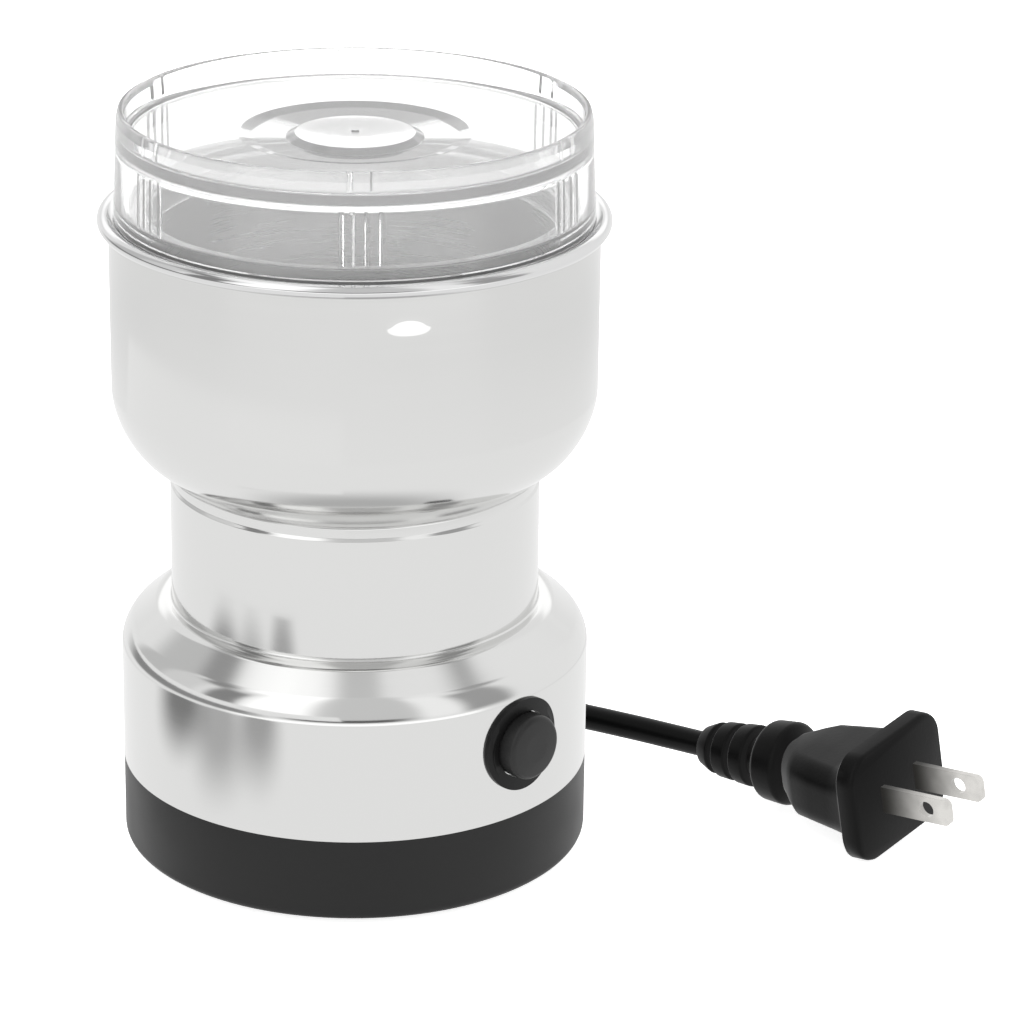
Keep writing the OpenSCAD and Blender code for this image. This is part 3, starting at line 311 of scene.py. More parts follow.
def spin_full(bm, steps=256):
    """Turns the chain once round Z and welds its seam and poles."""
    bmesh.ops.spin(
        bm,
        geom=bm.verts[:] + bm.edges[:],
        cent=(0, 0, 0),
        axis=(0, 0, 1),
        angle=2 * math.pi,
        steps=steps,
        use_merge=True,
    )
    bmesh.ops.remove_doubles(bm, verts=bm.verts[:], dist=1e-6)
    bmesh.ops.recalc_face_normals(bm, faces=bm.faces[:])


def piece(bm, name, material, body, stands_for=(), crease=35):
    """Makes the bmesh an object that rides on a body, with soft shading up to a crease angle."""
    mesh = bpy.data.meshes.new(name)
    bm.to_mesh(mesh)
    bm.free()
    mesh.shade_smooth()
    mesh.set_sharp_from_angle(angle=math.radians(crease))
    made = bpy.data.objects.new(name, mesh)
    bpy.context.collection.objects.link(made)
    mesh.materials.append(material)
    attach(made, body)
    if stands_for:
        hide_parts(*stands_for)
    print(name, len(mesh.polygons), "faces")
    return made


def sheet(made, thickness_mm):
    """Gives a skin the thickness of its sheet, inwards from the surface that was drawn."""
    wall = made.modifiers.new("sheet", "SOLIDIFY")
    wall.thickness = thickness_mm * MM
    wall.offset = -1
    wall.use_even_offset = True
    even_shading(made)


def even_shading(made):
    """Lets the large faces decide the shading, so that a flat wall stays flat beside a bend."""
    weigh = made.modifiers.new("even_shading", "WEIGHTED_NORMAL")
    weigh.keep_sharp = True
    weigh.weight = 90


# %% [markdown]
# ## The lead
#
# The lead is one length of 6 mm flex, about 0.7 m from the strain relief to the plug. It
# leaves the base at the back, lies in two and a half flat turns behind the grinder, comes
# round on the right and ends in the plug. A Bezier curve with automatic handles stays smooth
# through few points, and its bevel depth gives the round section. Turn points come from a
# loop, because a coil is the same step over and over.


# %% Lay the lead
COIL_Y = 103
LEAD_R = 3


def turn_point(swept, radius, height):
    """A point of the coil, that many degrees clockwise from its left side."""
    a = math.radians(180 - swept)
    return (radius * math.cos(a), COIL_Y + radius * math.sin(a), height)


def blend(x, x0, x1, y0, y1):
    """A smooth step from y0 to y1 while x goes from x0 to x1."""
    t = min(1, max(0, (x - x0) / (x1 - x0)))
    return y0 + (y1 - y0) * t * t * (3 - 2 * t)


TAIL = [(-29, 68, 11.5), (-31, 74, 11.4), (-33, 80, 11), (-34.6, 87, 10.4), (-35.6, 95, 9.6)]
LEAD = [
    (39, 92, 3), (39, 82, 3), (39.6, 72, 3.3), (42, 62.5, 4.4), (46.5, 54.5, 5.8),
    (52.5, 47.5, 6.8), (59.8, 41.8, 7.4), (67.4, 36.4, 7.8), (75, 30.7, 8.2), (82.4, 24.4, 8.9),
]
# from 300 degrees on the lead drops from the upper turn to the floor, and then runs wider
coil = []
for swept in range(0, 901, 20):
    if swept <= 300:
        at = (36, blend(swept, 0, 60, 9, 8.2) + blend(swept, 240, 300, 0, 0.6))
    elif swept <= 360:
        at = (blend(swept, 300, 360, 36, 33), blend(swept, 300, 360, 8.8, 3))
    else:
        at = (blend(swept, 600, 660, 33, 39), 3)
    coil.append(turn_point(swept, *at))
route = [Vector(p) * MM for p in TAIL + coil + LEAD]

lead_curve = bpy.data.curves.new("mains_lead", "CURVE")
lead_curve.dimensions = "3D"
lead_curve.bevel_depth = LEAD_R * MM
lead_curve.bevel_resolution = 6
lead_curve.resolution_u = 6
lead_curve.use_fill_caps = True
line = lead_curve.splines.new("BEZIER")
line.bezier_points.add(len(route) - 1)
for point, co in zip(line.bezier_points, route):
    point.co = co
    point.handle_left_type = point.handle_right_type = "AUTO"
lead = bpy.data.objects.new("mains_lead", lead_curve)
bpy.context.collection.objects.link(lead)
lead_curve.materials.append(cord_pvc)
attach(lead, "housing")
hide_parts("cord_tail", "cord_coil", "cord_lead")
lead.visible_glossy = False
print("lead through", len(route), "points")

# %% [markdown]
# ## The plug
#
# The plug is one moulding of soft PVC: a ribbed strain relief, a round collar, a neck that
# widens, and a rounded oblong flange that the fingers pull on. It is made along X and then
# laid where the end of the lead is. The relief is a spin, and the body is a row of rounded
# oblongs joined by bridging their loops.

# %% Place for everything that belongs to the plug
PLUG_AT = (82.4, 24.4, 8.9)
PLUG_TURN, PLUG_TILT, PLUG_ROLL = -42, 6.2, 6.5
FLANGE_X = 54.5
plug_lie = (
    Matrix.Translation(Vector(PLUG_AT) * MM)
    @ Matrix.Rotation(math.radians(PLUG_TURN), 4, "Z")
    @ Matrix.Rotation(math.radians(-PLUG_TILT), 4, "Y")
    @ Matrix.Rotation(math.radians(PLUG_ROLL), 4, "X")
)


def oblong(bm, x, w, h, r):
    """A loop across X: an oblong of that width and height with rounded corners."""
    corners = [(-w / 2, -h / 2), (w / 2, -h / 2), (w / 2, h / 2), (-w / 2, h / 2)]
    verts = [bm.verts.new((x * MM, a * MM, b * MM)) for a, b in corners]
    edges = [bm.edges.new((verts[i], verts[(i + 1) % 4])) for i in range(4)]
    made = bmesh.ops.bevel(
        bm, geom=verts, offset=r * MM, offset_type="OFFSET", segments=10, profile=0.5,
        affect="VERTICES", material=-1,
    )
    return list({e for v in made["verts"] for e in v.link_edges} | {e for e in edges if e.is_valid})


# %% Spin the strain relief and the collar
RELIEF_RIBS, RIB_PITCH = 3, 5.4
outline = [(0, 0)]
for i in range(RELIEF_RIBS):
    x, r = RIB_PITCH * i, LEAD_R + 0.5 * i
    outline += [
        (r + (3 if i else 1.6), x, 0.4), (r + 3.3, x + 3.9, 0.6),
        (r + 1.1, x + 4.2, 0.3), (r + 1.2, x + 5.2, 0.2),
    ]
outline += [
    (5.9, 17.8, 0.5), (9.3, 18.8, 1.5), (9.8, 25.4, 1.8), (7.0, 27.0, 0.6), (7.0, 28.4), (0, 28.4),
]
relief = chain(outline)
spin_full(relief, 96)
laid = plug_lie @ Matrix.Rotation(math.pi / 2, 4, "Y")
bmesh.ops.transform(relief, matrix=laid, verts=relief.verts[:])
plug_relief = piece(relief, "plug_relief", plug_pvc, "housing")

# %% Bridge the widening body and its flange
body = bmesh.new()
sections = [
    # place along X, width, height, corner radius
    (26.4, 14.0, 14.0, 6.0), (27.6, 15.8, 14.4, 6.0), (30.2, 20.2, 15.1, 5.4),
    (32.9, 24.15, 15.6, 5.0), (38.6, 27.0, 15.6, 5.0), (44.4, 29.8, 15.6, 5.0),
    (48.6, 31.8, 15.8, 5.0), (49.3, 32.6, 17.6, 5.4), (49.6, 33.6, 24.8, 6.2),
    (50.1, 34.5, 26.0, 6.5), (53.5, 34.5, 26.0, 6.5), (54.2, 34.1, 25.6, 6.4),
    (FLANGE_X, 33.3, 24.8, 6.1),
]
loops = [oblong(body, *s) for s in sections]
for near, far in zip(loops, loops[1:]):
    bmesh.ops.bridge_loops(body, edges=near + far)
bmesh.ops.holes_fill(body, edges=body.edges[:], sides=0)
bmesh.ops.recalc_face_normals(body, faces=body.faces[:])
bmesh.ops.transform(body, matrix=plug_lie, verts=body.verts[:])
plug_moulding = piece(body, "plug_moulding", plug_pvc, "housing", ["plug_body"], 50)
for made in (plug_relief, plug_moulding):
    made.visible_glossy = False

# %% [markdown]
# The blades' nickel is painted dark and left rougher near the flange: the dark is a painted
# reflection of the black plug beside it. Towards the tip it is light and smoother. A ramp along
# the blade, measured from the flange's face, mixes the two. The blade lies slanted in space, so
# the direction is the plug's own.

# %% Make the blades' nickel
# how far along the blade from the flange the painted dark reflection reaches, in mm
PAINTED_DARK_LENGTH = 17
nickel, nickel_tree, nickel_shader = finish_named("brass_nickel_plated_painted_reflection", Metallic=1.0)
along = plug_lie.to_3x3() @ Vector((1, 0, 0))
flange_face = (plug_lie @ Vector((FLANGE_X * MM, 0, 0))).dot(along)
where = add(nickel_tree, "ShaderNodeTexCoord")
reach = add(
    nickel_tree,
    "ShaderNodeVectorMath",
    {0: where.outputs["Object"], 1: along},
    operation="DOT_PRODUCT",
)
# painted reflection: 0 at the flange, where the blade is painted dark, rising to 1 along the blade
painted_reflection_ramp = add(
    nickel_tree,
    "ShaderNodeMapRange",
    {
        "Value": reach.outputs["Value"],
        "From Min": flange_face, "From Max": flange_face + PAINTED_DARK_LENGTH * MM,
        "To Min": 0.0, "To Max": 1.0,
    },
    interpolation_type="SMOOTHSTEP",
)
random_patches = patches(nickel_tree, size_mm=3)
uneven = add(
    nickel_tree,
    "ShaderNodeMapRange",
    {"Value": random_patches.outputs[0], "From Min": 0.2, "From Max": 0.8, "To Min": 0.85, "To Max": 1.1},
)
share = add(
    nickel_tree,
    "ShaderNodeMath",
    {0: painted_reflection_ramp.outputs[0], 1: uneven.outputs[0]},
    operation="MULTIPLY",
    use_clamp=True,
)
# the dark colour is the painted reflection near the flange, the light one is the nickel towards the
# tip
tone = add(
    nickel_tree,
    "ShaderNodeMix",
    {"Factor": share.outputs[0], 6: colour("#2B2A28"), 7: colour("#E0DEDA")},
    data_type="RGBA",
)
gloss = add(
    nickel_tree,
    "ShaderNodeMapRange",
    {"Value": share.outputs[0], "To Min": 0.42, "To Max": 0.2},
)
nickel_tree.links.new(tone.outputs[2], nickel_shader.inputs["Base Color"])
nickel_tree.links.new(gloss.outputs[0], nickel_shader.inputs["Roughness"])
print("rubbed nickel made")

# %% [markdown]
# The two blades are stamped from 1.5 mm strip with rounded tips and a round hole near the
# end. A flat outline with a hole is a filled face, and pulling it out by its thickness and
# bevelling the long edges gives the soft shine of a stamped part.


# %% Cut the blades
BLADE_ROOT, BLADE_TIP, HOLE_X = 48.6, 72.7, 66.5
BLADE_HIGH, BLADE_THICK, BLADES_APART = 6.35, 1.5, 12.7


def blade(side):
    """One plug blade, made flat in XZ and then thickened along Y."""
    bm = bmesh.new()
    low, high = -BLADE_HIGH / 2, BLADE_HIGH / 2
    corners = [(BLADE_ROOT, low), (BLADE_TIP, low), (BLADE_TIP, high), (BLADE_ROOT, high)]
    verts = [bm.verts.new((x * MM, 0, z * MM)) for x, z in corners]
    for i in range(4):
        bm.edges.new((verts[i], verts[(i + 1) % 4]))
    bmesh.ops.bevel(
        bm, geom=verts[1:3], offset=1.6 * MM, offset_type="OFFSET", segments=8, profile=0.5,
        affect="VERTICES", material=-1,
    )
    ring = bmesh.ops.create_circle(bm, segments=32, radius=1.9 * MM)["verts"]
    bmesh.ops.transform(
        bm,
        matrix=Matrix.Translation((HOLE_X * MM, 0, 0)) @ Matrix.Rotation(math.pi / 2, 4, "X"),
        verts=ring,
    )
    bmesh.ops.triangle_fill(bm, use_beauty=True, edges=bm.edges[:])
    pulled = bmesh.ops.extrude_face_region(bm, geom=bm.faces[:])
    moved = [v for v in pulled["geom"] if isinstance(v, bmesh.types.BMVert)]
    bmesh.ops.translate(bm, vec=(0, BLADE_THICK * MM, 0), verts=moved)
    bmesh.ops.recalc_face_normals(bm, faces=bm.faces[:])
    across = (side * BLADES_APART - BLADE_THICK) / 2
    bmesh.ops.translate(bm, vec=(0, across * MM, 0), verts=bm.verts[:])
    bmesh.ops.transform(bm, matrix=plug_lie, verts=bm.verts[:])
    return bm


for side, name in ((-1, "blade_near"), (1, "blade_far")):
    made = piece(
        blade(side), "plug_" + name, nickel, "housing", ["plug_blades"], 25
    )
    soft = made.modifiers.new("stamped_edge", "BEVEL")
    soft.width = 0.2 * MM
    soft.segments = 2
    soft.limit_method = "ANGLE"
    soft.angle_limit = math.radians(50)
    made.visible_glossy = False

# %% [markdown]
# ## The steel bowl
#
# The outer bowl is drawn from 0.6 mm sheet. Its wall runs straight down and turns in a large
# quarter curve to a small foot that stands on the neck. The outside surface is drawn as an
# open chain, spun, and then given its thickness inwards. The small oval dimple on the front
# locks the inner pan. It is pressed in by moving the few vertices that lie inside it, deeper at
# its top than at its bottom, so its flat floor looks a little upwards and catches the light.

# %% Spin the bowl
BOWL_R = 52.6
bowl = chain(
    [
        (14.0, 88.75), (40.9, 88.75, 0.6), (41.3, 89.45), (BOWL_R, 98.62, 18.0),
        *((BOWL_R, 133 + 0.5 * i) for i in range(18)), (BOWL_R, 144.38, 0.8), (54.1, 144.38),
    ]
)
spin_full(bowl, 384)
print("bowl spun:", len(bowl.verts), "points")

# %% Press the dimple
WALL_R = BOWL_R * MM
ON_WALL_R = 52 * MM
DIMPLE_AROUND, DIMPLE_UP = math.radians(12.0), 136.7 * MM
DIMPLE_HALF = (3.9 * MM, 1.75 * MM)
DIMPLE_DEEP = 0.18 * MM
DIMPLE_EDGE = (0.85, 1.25)


def off_dimple(co):
    """How far a point of the wall lies from the dimple's middle, in half widths and heights."""
    around = math.remainder(math.atan2(co.x, -co.y) - DIMPLE_AROUND, 2 * math.pi) * WALL_R
    return around / DIMPLE_HALF[0], (co.z - DIMPLE_UP) / DIMPLE_HALF[1]


def by_dimple(v):
    """Whether the vertex is one of the wall's that the finer mesh of the dimple needs."""
    return max(abs(x) for x in off_dimple(v.co)) < 1.4 and v.co.xy.length > ON_WALL_R


near = [e for e in bowl.edges if all(by_dimple(v) for v in e.verts)]
bmesh.ops.subdivide_edges(bowl, edges=near, cuts=3, use_grid_fill=True)
for v in bowl.verts:
    side, up = off_dimple(v.co)
    far = math.hypot(side, up)
    if far < 1.3 and v.co.xy.length > ON_WALL_R:
        depth = DIMPLE_DEEP * (0.5 + 0.5 * up) * blend(far, *DIMPLE_EDGE, 1, 0)
        v.co.xy *= (WALL_R - depth) / v.co.xy.length
sheet(piece(bowl, "outer_bowl", satin_steel, "housing", ["bowl_shell"]), 0.6)

# %% [markdown]
# ## The grinding pan and its rolled rim
#
# The inner pan is a second pressing in 0.7 mm sheet with a brighter polish. Its edge runs out
# as a ledge that the lid stands on, and is then rolled over the bowl's flange, which holds
# the two together. The roll is a spin of its own: the last vertex is turned round the centre
# of the roll before the whole chain is turned round the grinder. Inside, the faces of the floor
# and the wall carry a second, rougher finish whose darker colour is painted shade.

# %% Spin the pan
PAN_R = 47.3
ROLL_X, ROLL_Z, ROLL_R = 54.1, 144.98, 1.5
ROLL_FROM, ROLL_BY = math.radians(125), math.radians(220)
pan = chain([(8.1, 95.18), (PAN_R, 95.18, 9.0), (PAN_R, 145.68, 1.2), (52.4, 145.68)])
last = max(pan.verts, key=lambda v: (round(v.co.z, 5), v.co.x))
first = bmesh.ops.extrude_vert_indiv(pan, verts=[last])["verts"][0]
first.co = (
    (ROLL_X + ROLL_R * math.cos(ROLL_FROM)) * MM,
    0,
    (ROLL_Z + ROLL_R * math.sin(ROLL_FROM)) * MM,
)
bmesh.ops.spin(
    pan,
    geom=[first],
    cent=(ROLL_X * MM, 0, ROLL_Z * MM),
    axis=(0, 1, 0),
    angle=ROLL_BY,
    steps=28,
)
spin_full(pan, 288)
# the pan's floor and inside wall get the second finish: its darker colour is painted shade inside
# the pan
SHADED_INSIDE_R, SHADED_INSIDE_TO = 47.4 * MM, 145.3 * MM
for face in pan.faces:
    middle = face.calc_center_median()
    face.material_index = int(middle.xy.length < SHADED_INSIDE_R and middle.z < SHADED_INSIDE_TO)
grinding_pan = piece(
    pan, "grinding_pan", bright_steel, "housing", ["grinding_chamber"]
)
grinding_pan.data.materials.append(shaded_inside_steel)
pan_wall = grinding_pan.modifiers.new("sheet", "SOLIDIFY")
pan_wall.thickness = 0.7 * MM
pan_wall.offset = -1
even_shading(grinding_pan)

# %% [markdown]
# ## The motor housing
#
# Neck, shoulder and wall are one pressing. The shoulder leaves the wall in a 7.5 mm bend, runs
# straight, and then bends over into a small flat ledge that ends in a tight corner at the
# neck. Each of these bends gathers the whole studio into a thin bright or dark line, so their
# radii matter more than any colour.

# %% Spin the housing
housing = chain(
    [
        (52.0, 20.4), (52.0, 50.8, 7.5), (43.4, 57.75, 4.0), (40.8, 57.7, 0.45),
        (40.8, 85.15, 0.3), (40.4, 85.75, 0.3), (40.4, 88.75, 1.0), (22.0, 88.75),
    ]
)
spin_full(housing, 288)
motor_housing = piece(
    housing, "motor_housing", satin_steel, "housing", ["lower_housing"]
)
sheet(motor_housing, 0.6)

# %% [markdown]
# ## The clear lid
#
# The lid is one moulding: a wall, a panel set 5.6 mm below its top edge, and a short spigot
# that plugs into the pan. The panel has a flat disc in the middle, with the nub where the
# plastic was injected, and a shallow dished ring round it. At six places thin ribs run down
# the inside of the wall, two above the panel and four below it. They are drawn by moving
# narrow columns of vertices inwards, which keeps the plastic one closed body. Overlapping
# bodies would show false edges inside it.

# %% Spin the lid
lid = chain(
    [
        (0, 164.18), (0.7, 164.18), (0.9, 163.68), (12.8, 163.68), (13.1, 163.48),
        (14.9, 162.58, 0.5), (22.0, 163.07, 6.0), (25.0, 163.68, 3.0), (49.1, 163.68, 1.6),
        (49.4, 169.28, 0.5), (50.6, 169.28, 0.5), (51.1, 167.28, 1.0), (52.0, 145.68, 0.3),
        (47.1, 145.68), (47.1, 139.58, 0.6), (45.1, 139.58, 0.6), (45.1, 148.08, 1.0),
        (49.4, 148.08, 1.0), (49.4, 161.68, 1.8), (0, 161.68),
    ]
)
spin_full(lid, 720)
print("lid spun:", len(lid.verts), "points")

# %% Raise the lid's ribs
LID_TURNED = 1.45
STEP = 360 / 6
UPPER_RIBS, LOWER_RIBS = (-2.6, 2.6), (-4.6, -2.0, 1.1, 4.6)
RIB_HALF_WIDTH = 0.45
RIB_HIGH = 0.38 * MM
INSIDE_R, INSIDE_WITHIN = 49.3 * MM, 0.2 * MM
for v in lid.verts:
    radius = v.co.xy.length
    angle = math.degrees(math.atan2(v.co.x, -v.co.y)) - LID_TURNED
    near = angle - STEP * round(angle / STEP)
    up = 165 * MM < v.co.z < 168.9 * MM
    down = 149 * MM < v.co.z < 160.5 * MM
    lines = UPPER_RIBS if up else LOWER_RIBS if down else ()
    on_rib = any(abs(near - at) < RIB_HALF_WIDTH for at in lines)
    if on_rib and abs(radius - INSIDE_R) < INSIDE_WITHIN:
        v.co.xy *= 1 - RIB_HIGH / radius
even_shading(piece(lid, "clear_lid", clear_ps, "lid", ["lid"]))

# %% [markdown]
# ## Pieces that keep the construction model's own shape
#
# Moulded pieces whose solids are already right only need soft shading, and the bezel a fine
# bevel on its edges. A copy of the solid's mesh is welded first, because the imported one is
# loose triangles.


# %% Dress copies of the solids
def dressed(node, material, body, edge_mm=0):
    """A welded copy of a construction solid, with edges rounded by that much."""
    bm = bmesh.new()
    bm.from_mesh(nodes[node].data)
    bmesh.ops.remove_doubles(bm, verts=bm.verts[:], dist=2e-6)
    bmesh.ops.dissolve_limit(
        bm,
        angle_limit=math.radians(0.5),
        verts=bm.verts[:],
        edges=bm.edges[:],
        use_dissolve_boundaries=False,
    )
    made = piece(bm, node + "_dressed", material, body, [node], crease=30)
    if edge_mm:
        soft = made.modifiers.new("edge", "BEVEL")
        soft.width = edge_mm * MM
        soft.segments = 2
        soft.limit_method = "ANGLE"
        soft.angle_limit = math.radians(40)
        soft.use_clamp_overlap = True


dressed("base_cover", matt_abs, "housing")
dressed("button_bezel", gloss_abs, "housing", edge_mm=0.35)
dressed("button_cap", button_abs, "button")
dressed("cord_gland", cord_pvc, "housing")
dressed("rubber_feet", foot_rubber, "housing")

# %% Finish the solids that are seen through the lid, the vents or not at all
OTHER_FINISHES = {
    "grinding_blade": bright_steel, "blade_nut": bright_steel, "blade_hub": zinc,
    "shaft_seal": foot_rubber, "chamber_bush": matt_abs, "chamber_spacer": matt_abs,
    "motor_shaft": zinc, "armature_core": laminated, "armature_windings": copper,
    "commutator": copper, "cooling_fan": nylon, "upper_bearing": bronze, "lower_bearing": bronze,
    "upper_bracket": matt_abs, "lower_bracket": matt_abs, "stator_core": laminated,
    "field_coils": copper, "brush_holders": brass, "carbon_brushes": carbon, "brush_springs": zinc,
    "motor_bolts": zinc, "mounting_screws": zinc, "mounting_pads": foot_rubber,
    "cord_clamp": nylon, "clamp_screws": zinc, "inner_cord": cord_pvc, "base_screws": zinc,
    "button_nut": matt_abs, "switch_body": matt_abs, "switch_terminals": brass,
}
for name, material in OTHER_FINISHES.items():
    nodes[name].data.materials.clear()
    nodes[name].data.materials.append(material)
print("finished", len(OTHER_FINISHES), "inner solids")

# %% [markdown]
# ## Floor, light and surroundings
#
# Steel shows nothing but its surroundings, so the light is designed as a ring of soft panels
# and dark gaps round the grinder. The surroundings are pale by default. Each card then
# lightens or darkens one window of directions, given by its azimuth from the front, its
# height above the horizon, its half width and its half height, all in degrees. The azimuth
# jumps from 180 to -180 straight behind, so a card there is laid twice. Mirrored rays see the
# cards, rays through the clear lid see them faintly, and the rest see one plain brightness.

# %% Build the surroundings
bpy.context.scene.view_settings.view_transform = "Standard"
world = bpy.data.worlds.new("studio")
bpy.context.scene.world = world
world.use_nodes = True
sky = world.node_tree
sky.nodes.clear()
way = add(sky, "ShaderNodeSeparateXYZ", {0: add(sky, "ShaderNodeTexCoord").outputs["Generated"]})
toward = add(sky, "ShaderNodeMath", {0: way.outputs[1], 1: -1.0}, operation="MULTIPLY")
azimuth = add(sky, "ShaderNodeMath", {0: way.outputs[0], 1: toward.outputs[0]}, operation="ARCTAN2")
height = add(sky, "ShaderNodeMath", {0: way.outputs[2]}, operation="ARCSINE")


def window(angle, middle, half, soft):
    """1 within half of the middle and 0 outside, with a soft edge, all in degrees."""
    centre = math.radians(middle)
    off = add(sky, "ShaderNodeMath", {0: angle.outputs[0], 1: centre}, operation="SUBTRACT")
    far = add(sky, "ShaderNodeMath", {0: off.outputs[0]}, operation="ABSOLUTE")
    return add(
        sky,
        "ShaderNodeMapRange",
        {
            "Value": far.outputs[0],
            "From Min": math.radians(half - soft), "From Max": math.radians(half + soft),
            "To Min": 1.0, "To Max": 0.0,
        },
        interpolation_type="SMOOTHSTEP",
    ).outputs[0]


def card(under, brightness, az, el, half_az, half_el, soft_az, soft_el):
    """Lays a card over what is under it."""
    share = add(
        sky,
        "ShaderNodeMath",
        {0: window(azimuth, az, half_az, soft_az), 1: window(height, el, half_el, soft_el)},
        operation="MULTIPLY",
    )
    return add(
        sky, "ShaderNodeMix", {"Factor": share.outputs[0], 2: under, 3: brightness}
    ).outputs[0]


CARDS = [
    # brightness, azimuth, height, half width, half height, soft sides, soft top and bottom
    (0.95, 180, 44, 42, 36, 14, 8),
    (0.95, -180, 44, 42, 36, 14, 8),
    (1.35, 180, 21, 30, 5, 10, 2),
    (1.35, -180, 21, 30, 5, 10, 2),
    (0.48, -138, 55, 16, 6, 8, 4),
    (0.64, -118, 22, 14, 30, 5, 4),
    (0.80, -95, 14, 11, 26, 4, 4),
    (0.36, -106, 51, 18, 5, 10, 3),
    (0.30, -86, 45, 10, 7, 6, 4),
    (0.28, -69, 20, 9, 22, 3, 6),
    (1.30, -78, 68, 50, 9, 8, 5),
    (1.45, -38, 36, 18, 36, 6, 6),
    (1.45, -55, 60, 22, 9, 10, 5),
    (0.72, 8, 44, 27, 38, 13, 2),
    (1.12, 42, 30, 10, 30, 5, 6),
    (1.05, 56, 62, 12, 6, 8, 4),
    (0.42, 67, 22, 13, 25, 5, 6),
    (0.42, 84, 52, 14, 7, 8, 4),
    (0.45, 108, 62, 18, 5, 10, 3),
    (0.62, 0, 90, 200, 11, 1, 3),
    (1.45, 0, -11.5, 62, 4.5, 8, 1.5),
    (0.12, -4, 1.5, 30, 4.4, 12, 1.8),
    (0.30, -92, -4, 46, 6, 12, 2),
    (0.86, 0, -18, 400, 0.9, 1, 1.2),
    (0.55, 0, -90, 400, 21, 1, 10),
]


def number(value):
    """A shader value of its own."""
    made = add(sky, "ShaderNodeValue")
    made.outputs[0].default_value = value
    return made.outputs[0]


def choose(share, low, high):
    """One of two brightnesses, or a mix of them by that share."""
    return add(sky, "ShaderNodeMix", {"Factor": share, 2: low, 3: high}).outputs[0]


mirrored = number(1.0)
for numbers in CARDS:
    mirrored = card(mirrored, *numbers)

CARDS_IN_CLEAR, THROUGH_CLEAR, LIGHTING, BACKDROP = 0.12, 1.12, 1.25, 1.05
rays = add(sky, "ShaderNodeLightPath").outputs
mirror_ray = add(
    sky,
    "ShaderNodeMath",
    {0: rays["Is Glossy Ray"], 1: rays["Is Transmission Ray"]},
    operation="SUBTRACT",
    use_clamp=True,
).outputs[0]
through = choose(CARDS_IN_CLEAR, number(THROUGH_CLEAR), mirrored)
lighting = choose(rays["Is Transmission Ray"], number(LIGHTING), through)
seen = choose(mirror_ray, lighting, mirrored)
shown = choose(rays["Is Camera Ray"], seen, number(BACKDROP))
back = add(sky, "ShaderNodeBackground", {"Color": shown, "Strength": 1.0})
add(sky, "ShaderNodeOutputWorld", {"Surface": back.outputs[0]})
print("surroundings with", len(CARDS), "cards")

# %% Lay the floor
floor_bm = bmesh.new()
bmesh.ops.create_grid(floor_bm, x_segments=1, y_segments=1, size=4)
floor_mesh = bpy.data.meshes.new("studio_floor")
floor_bm.to_mesh(floor_mesh)
floor_bm.free()
floor = bpy.data.objects.new("studio_floor", floor_mesh)
bpy.context.collection.objects.link(floor)
table, _, _ = finish_named(
    "opal_acrylic_light_table",
    Base_Color=colour("#F4F4F4"),
    Roughness=0.9,
    Specular_IOR_Level=0.0,
    Emission_Color=colour("#FFFFFF"),
    Emission_Strength=0.8,
)
floor_mesh.materials.append(table)
floor.visible_glossy = False

# %% [markdown]
# Three dark cloths lie on the table to the left of the grinder, out of the camera's view, each
# fading towards its rim. The wall mirrors them as soft grey drops. The bowl would mirror them
# too, so a white shelf hangs over them, higher than the wall's top edge: the wall looks in
# under it, and the bowl sees only the shelf. Only mirrored rays meet any of these.

# %% Lay the dark cloths and hang the shelf
CLOTHS = [
    # centre across and along, half length and half width in mm, turned by, darkness
    (-148, -27, 50, 50, -4, 0.75),
    (-125, -76, 62, 42, 18, 0.48),
    (-105, -124, 66, 34, 43, 0.55),
]


def mirrored_only(bm, name, material):
    """A stage piece that only reflections show."""
    mesh = bpy.data.meshes.new(name)
    bm.to_mesh(mesh)
    bm.free()
    mesh.materials.append(material)
    made = bpy.data.objects.new(name, mesh)
    bpy.context.collection.objects.link(made)
    made.visible_camera = made.visible_diffuse = False
    made.visible_transmission = made.visible_shadow = False


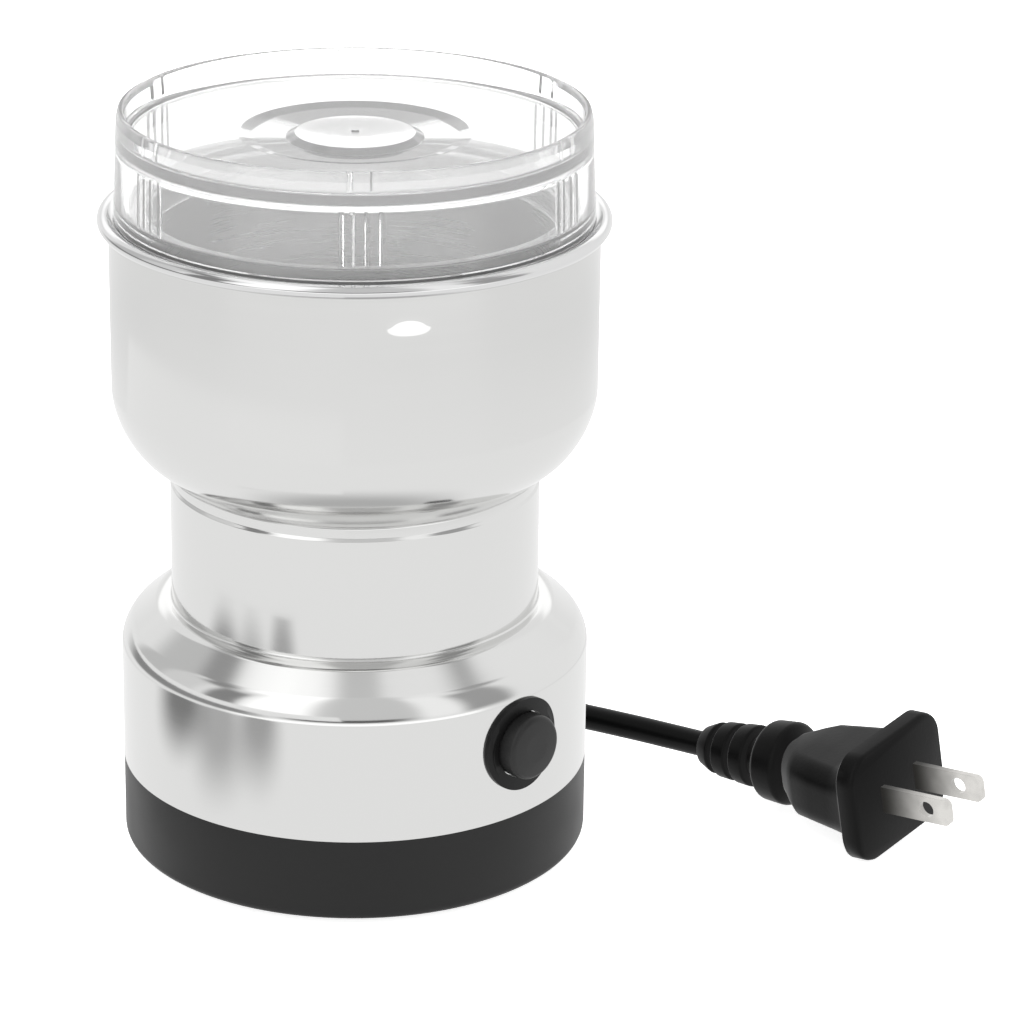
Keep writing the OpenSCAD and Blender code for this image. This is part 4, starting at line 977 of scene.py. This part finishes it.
def soft_cloth(layer, x, y, half_l, half_w, turn, darkness):
    """A dark oval just above the floor whose rim fades away."""
    bm = bmesh.new()
    bmesh.ops.create_circle(bm, cap_ends=True, segments=48, radius=1)
    place = (
        Matrix.Translation((x * MM, y * MM, (0.4 + 0.2 * layer) * MM))
        @ Matrix.Rotation(math.radians(turn), 4, "Z")
        @ Matrix.Diagonal((half_l * MM, half_w * MM, 1, 1))
    )
    bmesh.ops.transform(bm, matrix=place, verts=bm.verts[:])
    cloth = bpy.data.materials.new("black_velvet_%d" % layer)
    cloth.use_nodes = True
    tree = cloth.node_tree
    tree.nodes.clear()
    from_middle = add(
        tree,
        "ShaderNodeMapping",
        {
            "Vector": add(tree, "ShaderNodeTexCoord").outputs["Object"],
            "Location": (x * MM, y * MM, 0),
            "Rotation": (0, 0, math.radians(turn)),
            "Scale": (half_l * MM, half_w * MM, 1),
        },
        vector_type="TEXTURE",
    )
    flat = add(
        tree,
        "ShaderNodeVectorMath",
        {0: from_middle.outputs[0], 1: (1, 1, 0)},
        operation="MULTIPLY",
    )
    far = add(tree, "ShaderNodeVectorMath", {0: flat.outputs[0]}, operation="LENGTH")
    cover = add(
        tree,
        "ShaderNodeMapRange",
        {
            "Value": far.outputs["Value"],
            "From Min": 1.0, "From Max": 0.25, "To Min": 0.0, "To Max": darkness,
        },
        interpolation_type="SMOOTHSTEP",
    )
    clear = add(tree, "ShaderNodeBsdfTransparent").outputs[0]
    black = add(tree, "ShaderNodeEmission", {"Strength": 0.0}).outputs[0]
    mixed = add(tree, "ShaderNodeMixShader", {0: cover.outputs[0], 1: clear, 2: black})
    add(tree, "ShaderNodeOutputMaterial", {"Surface": mixed.outputs[0]})
    mirrored_only(bm, "dark_cloth_%d" % layer, cloth)


for i, numbers in enumerate(CLOTHS):
    soft_cloth(i, *numbers)

SHELF_INNER, SHELF_OUTER, SHELF_UP = 0.070, 0.240, 0.054
SHELF_FROM, SHELF_BY = math.radians(150), math.radians(115)
shelf = bmesh.new()
shelf.edges.new([shelf.verts.new((r, 0, SHELF_UP)) for r in (SHELF_INNER, SHELF_OUTER)])
turned = Matrix.Rotation(SHELF_FROM, 3, "Z")
bmesh.ops.rotate(shelf, cent=(0, 0, 0), matrix=turned, verts=shelf.verts[:])
bmesh.ops.spin(
    shelf,
    geom=shelf.verts[:] + shelf.edges[:],
    cent=(0, 0, 0),
    axis=(0, 0, 1),
    angle=SHELF_BY,
    steps=24,
)
white_card, _, _ = finish_named(
    "white_card",
    Base_Color=(0, 0, 0, 1),
    Specular_IOR_Level=0.0,
    Emission_Color=(1, 1, 1, 1),
    Emission_Strength=1.0,
)
mirrored_only(shelf, "white_shelf", white_card)
print(len(CLOTHS), "dark cloths and a shelf in place")

# %% Hang the overhead softbox
lamp_data = bpy.data.lights.new("overhead_softbox", "AREA")
lamp_data.shape = "DISK"
lamp_data.size = 1.6
lamp_data.energy = 8
lamp = bpy.data.objects.new("overhead_softbox", lamp_data)
lamp.location = (-0.2, -0.3, 1.8)
lamp.visible_glossy = False
bpy.context.collection.objects.link(lamp)
print("light in place")
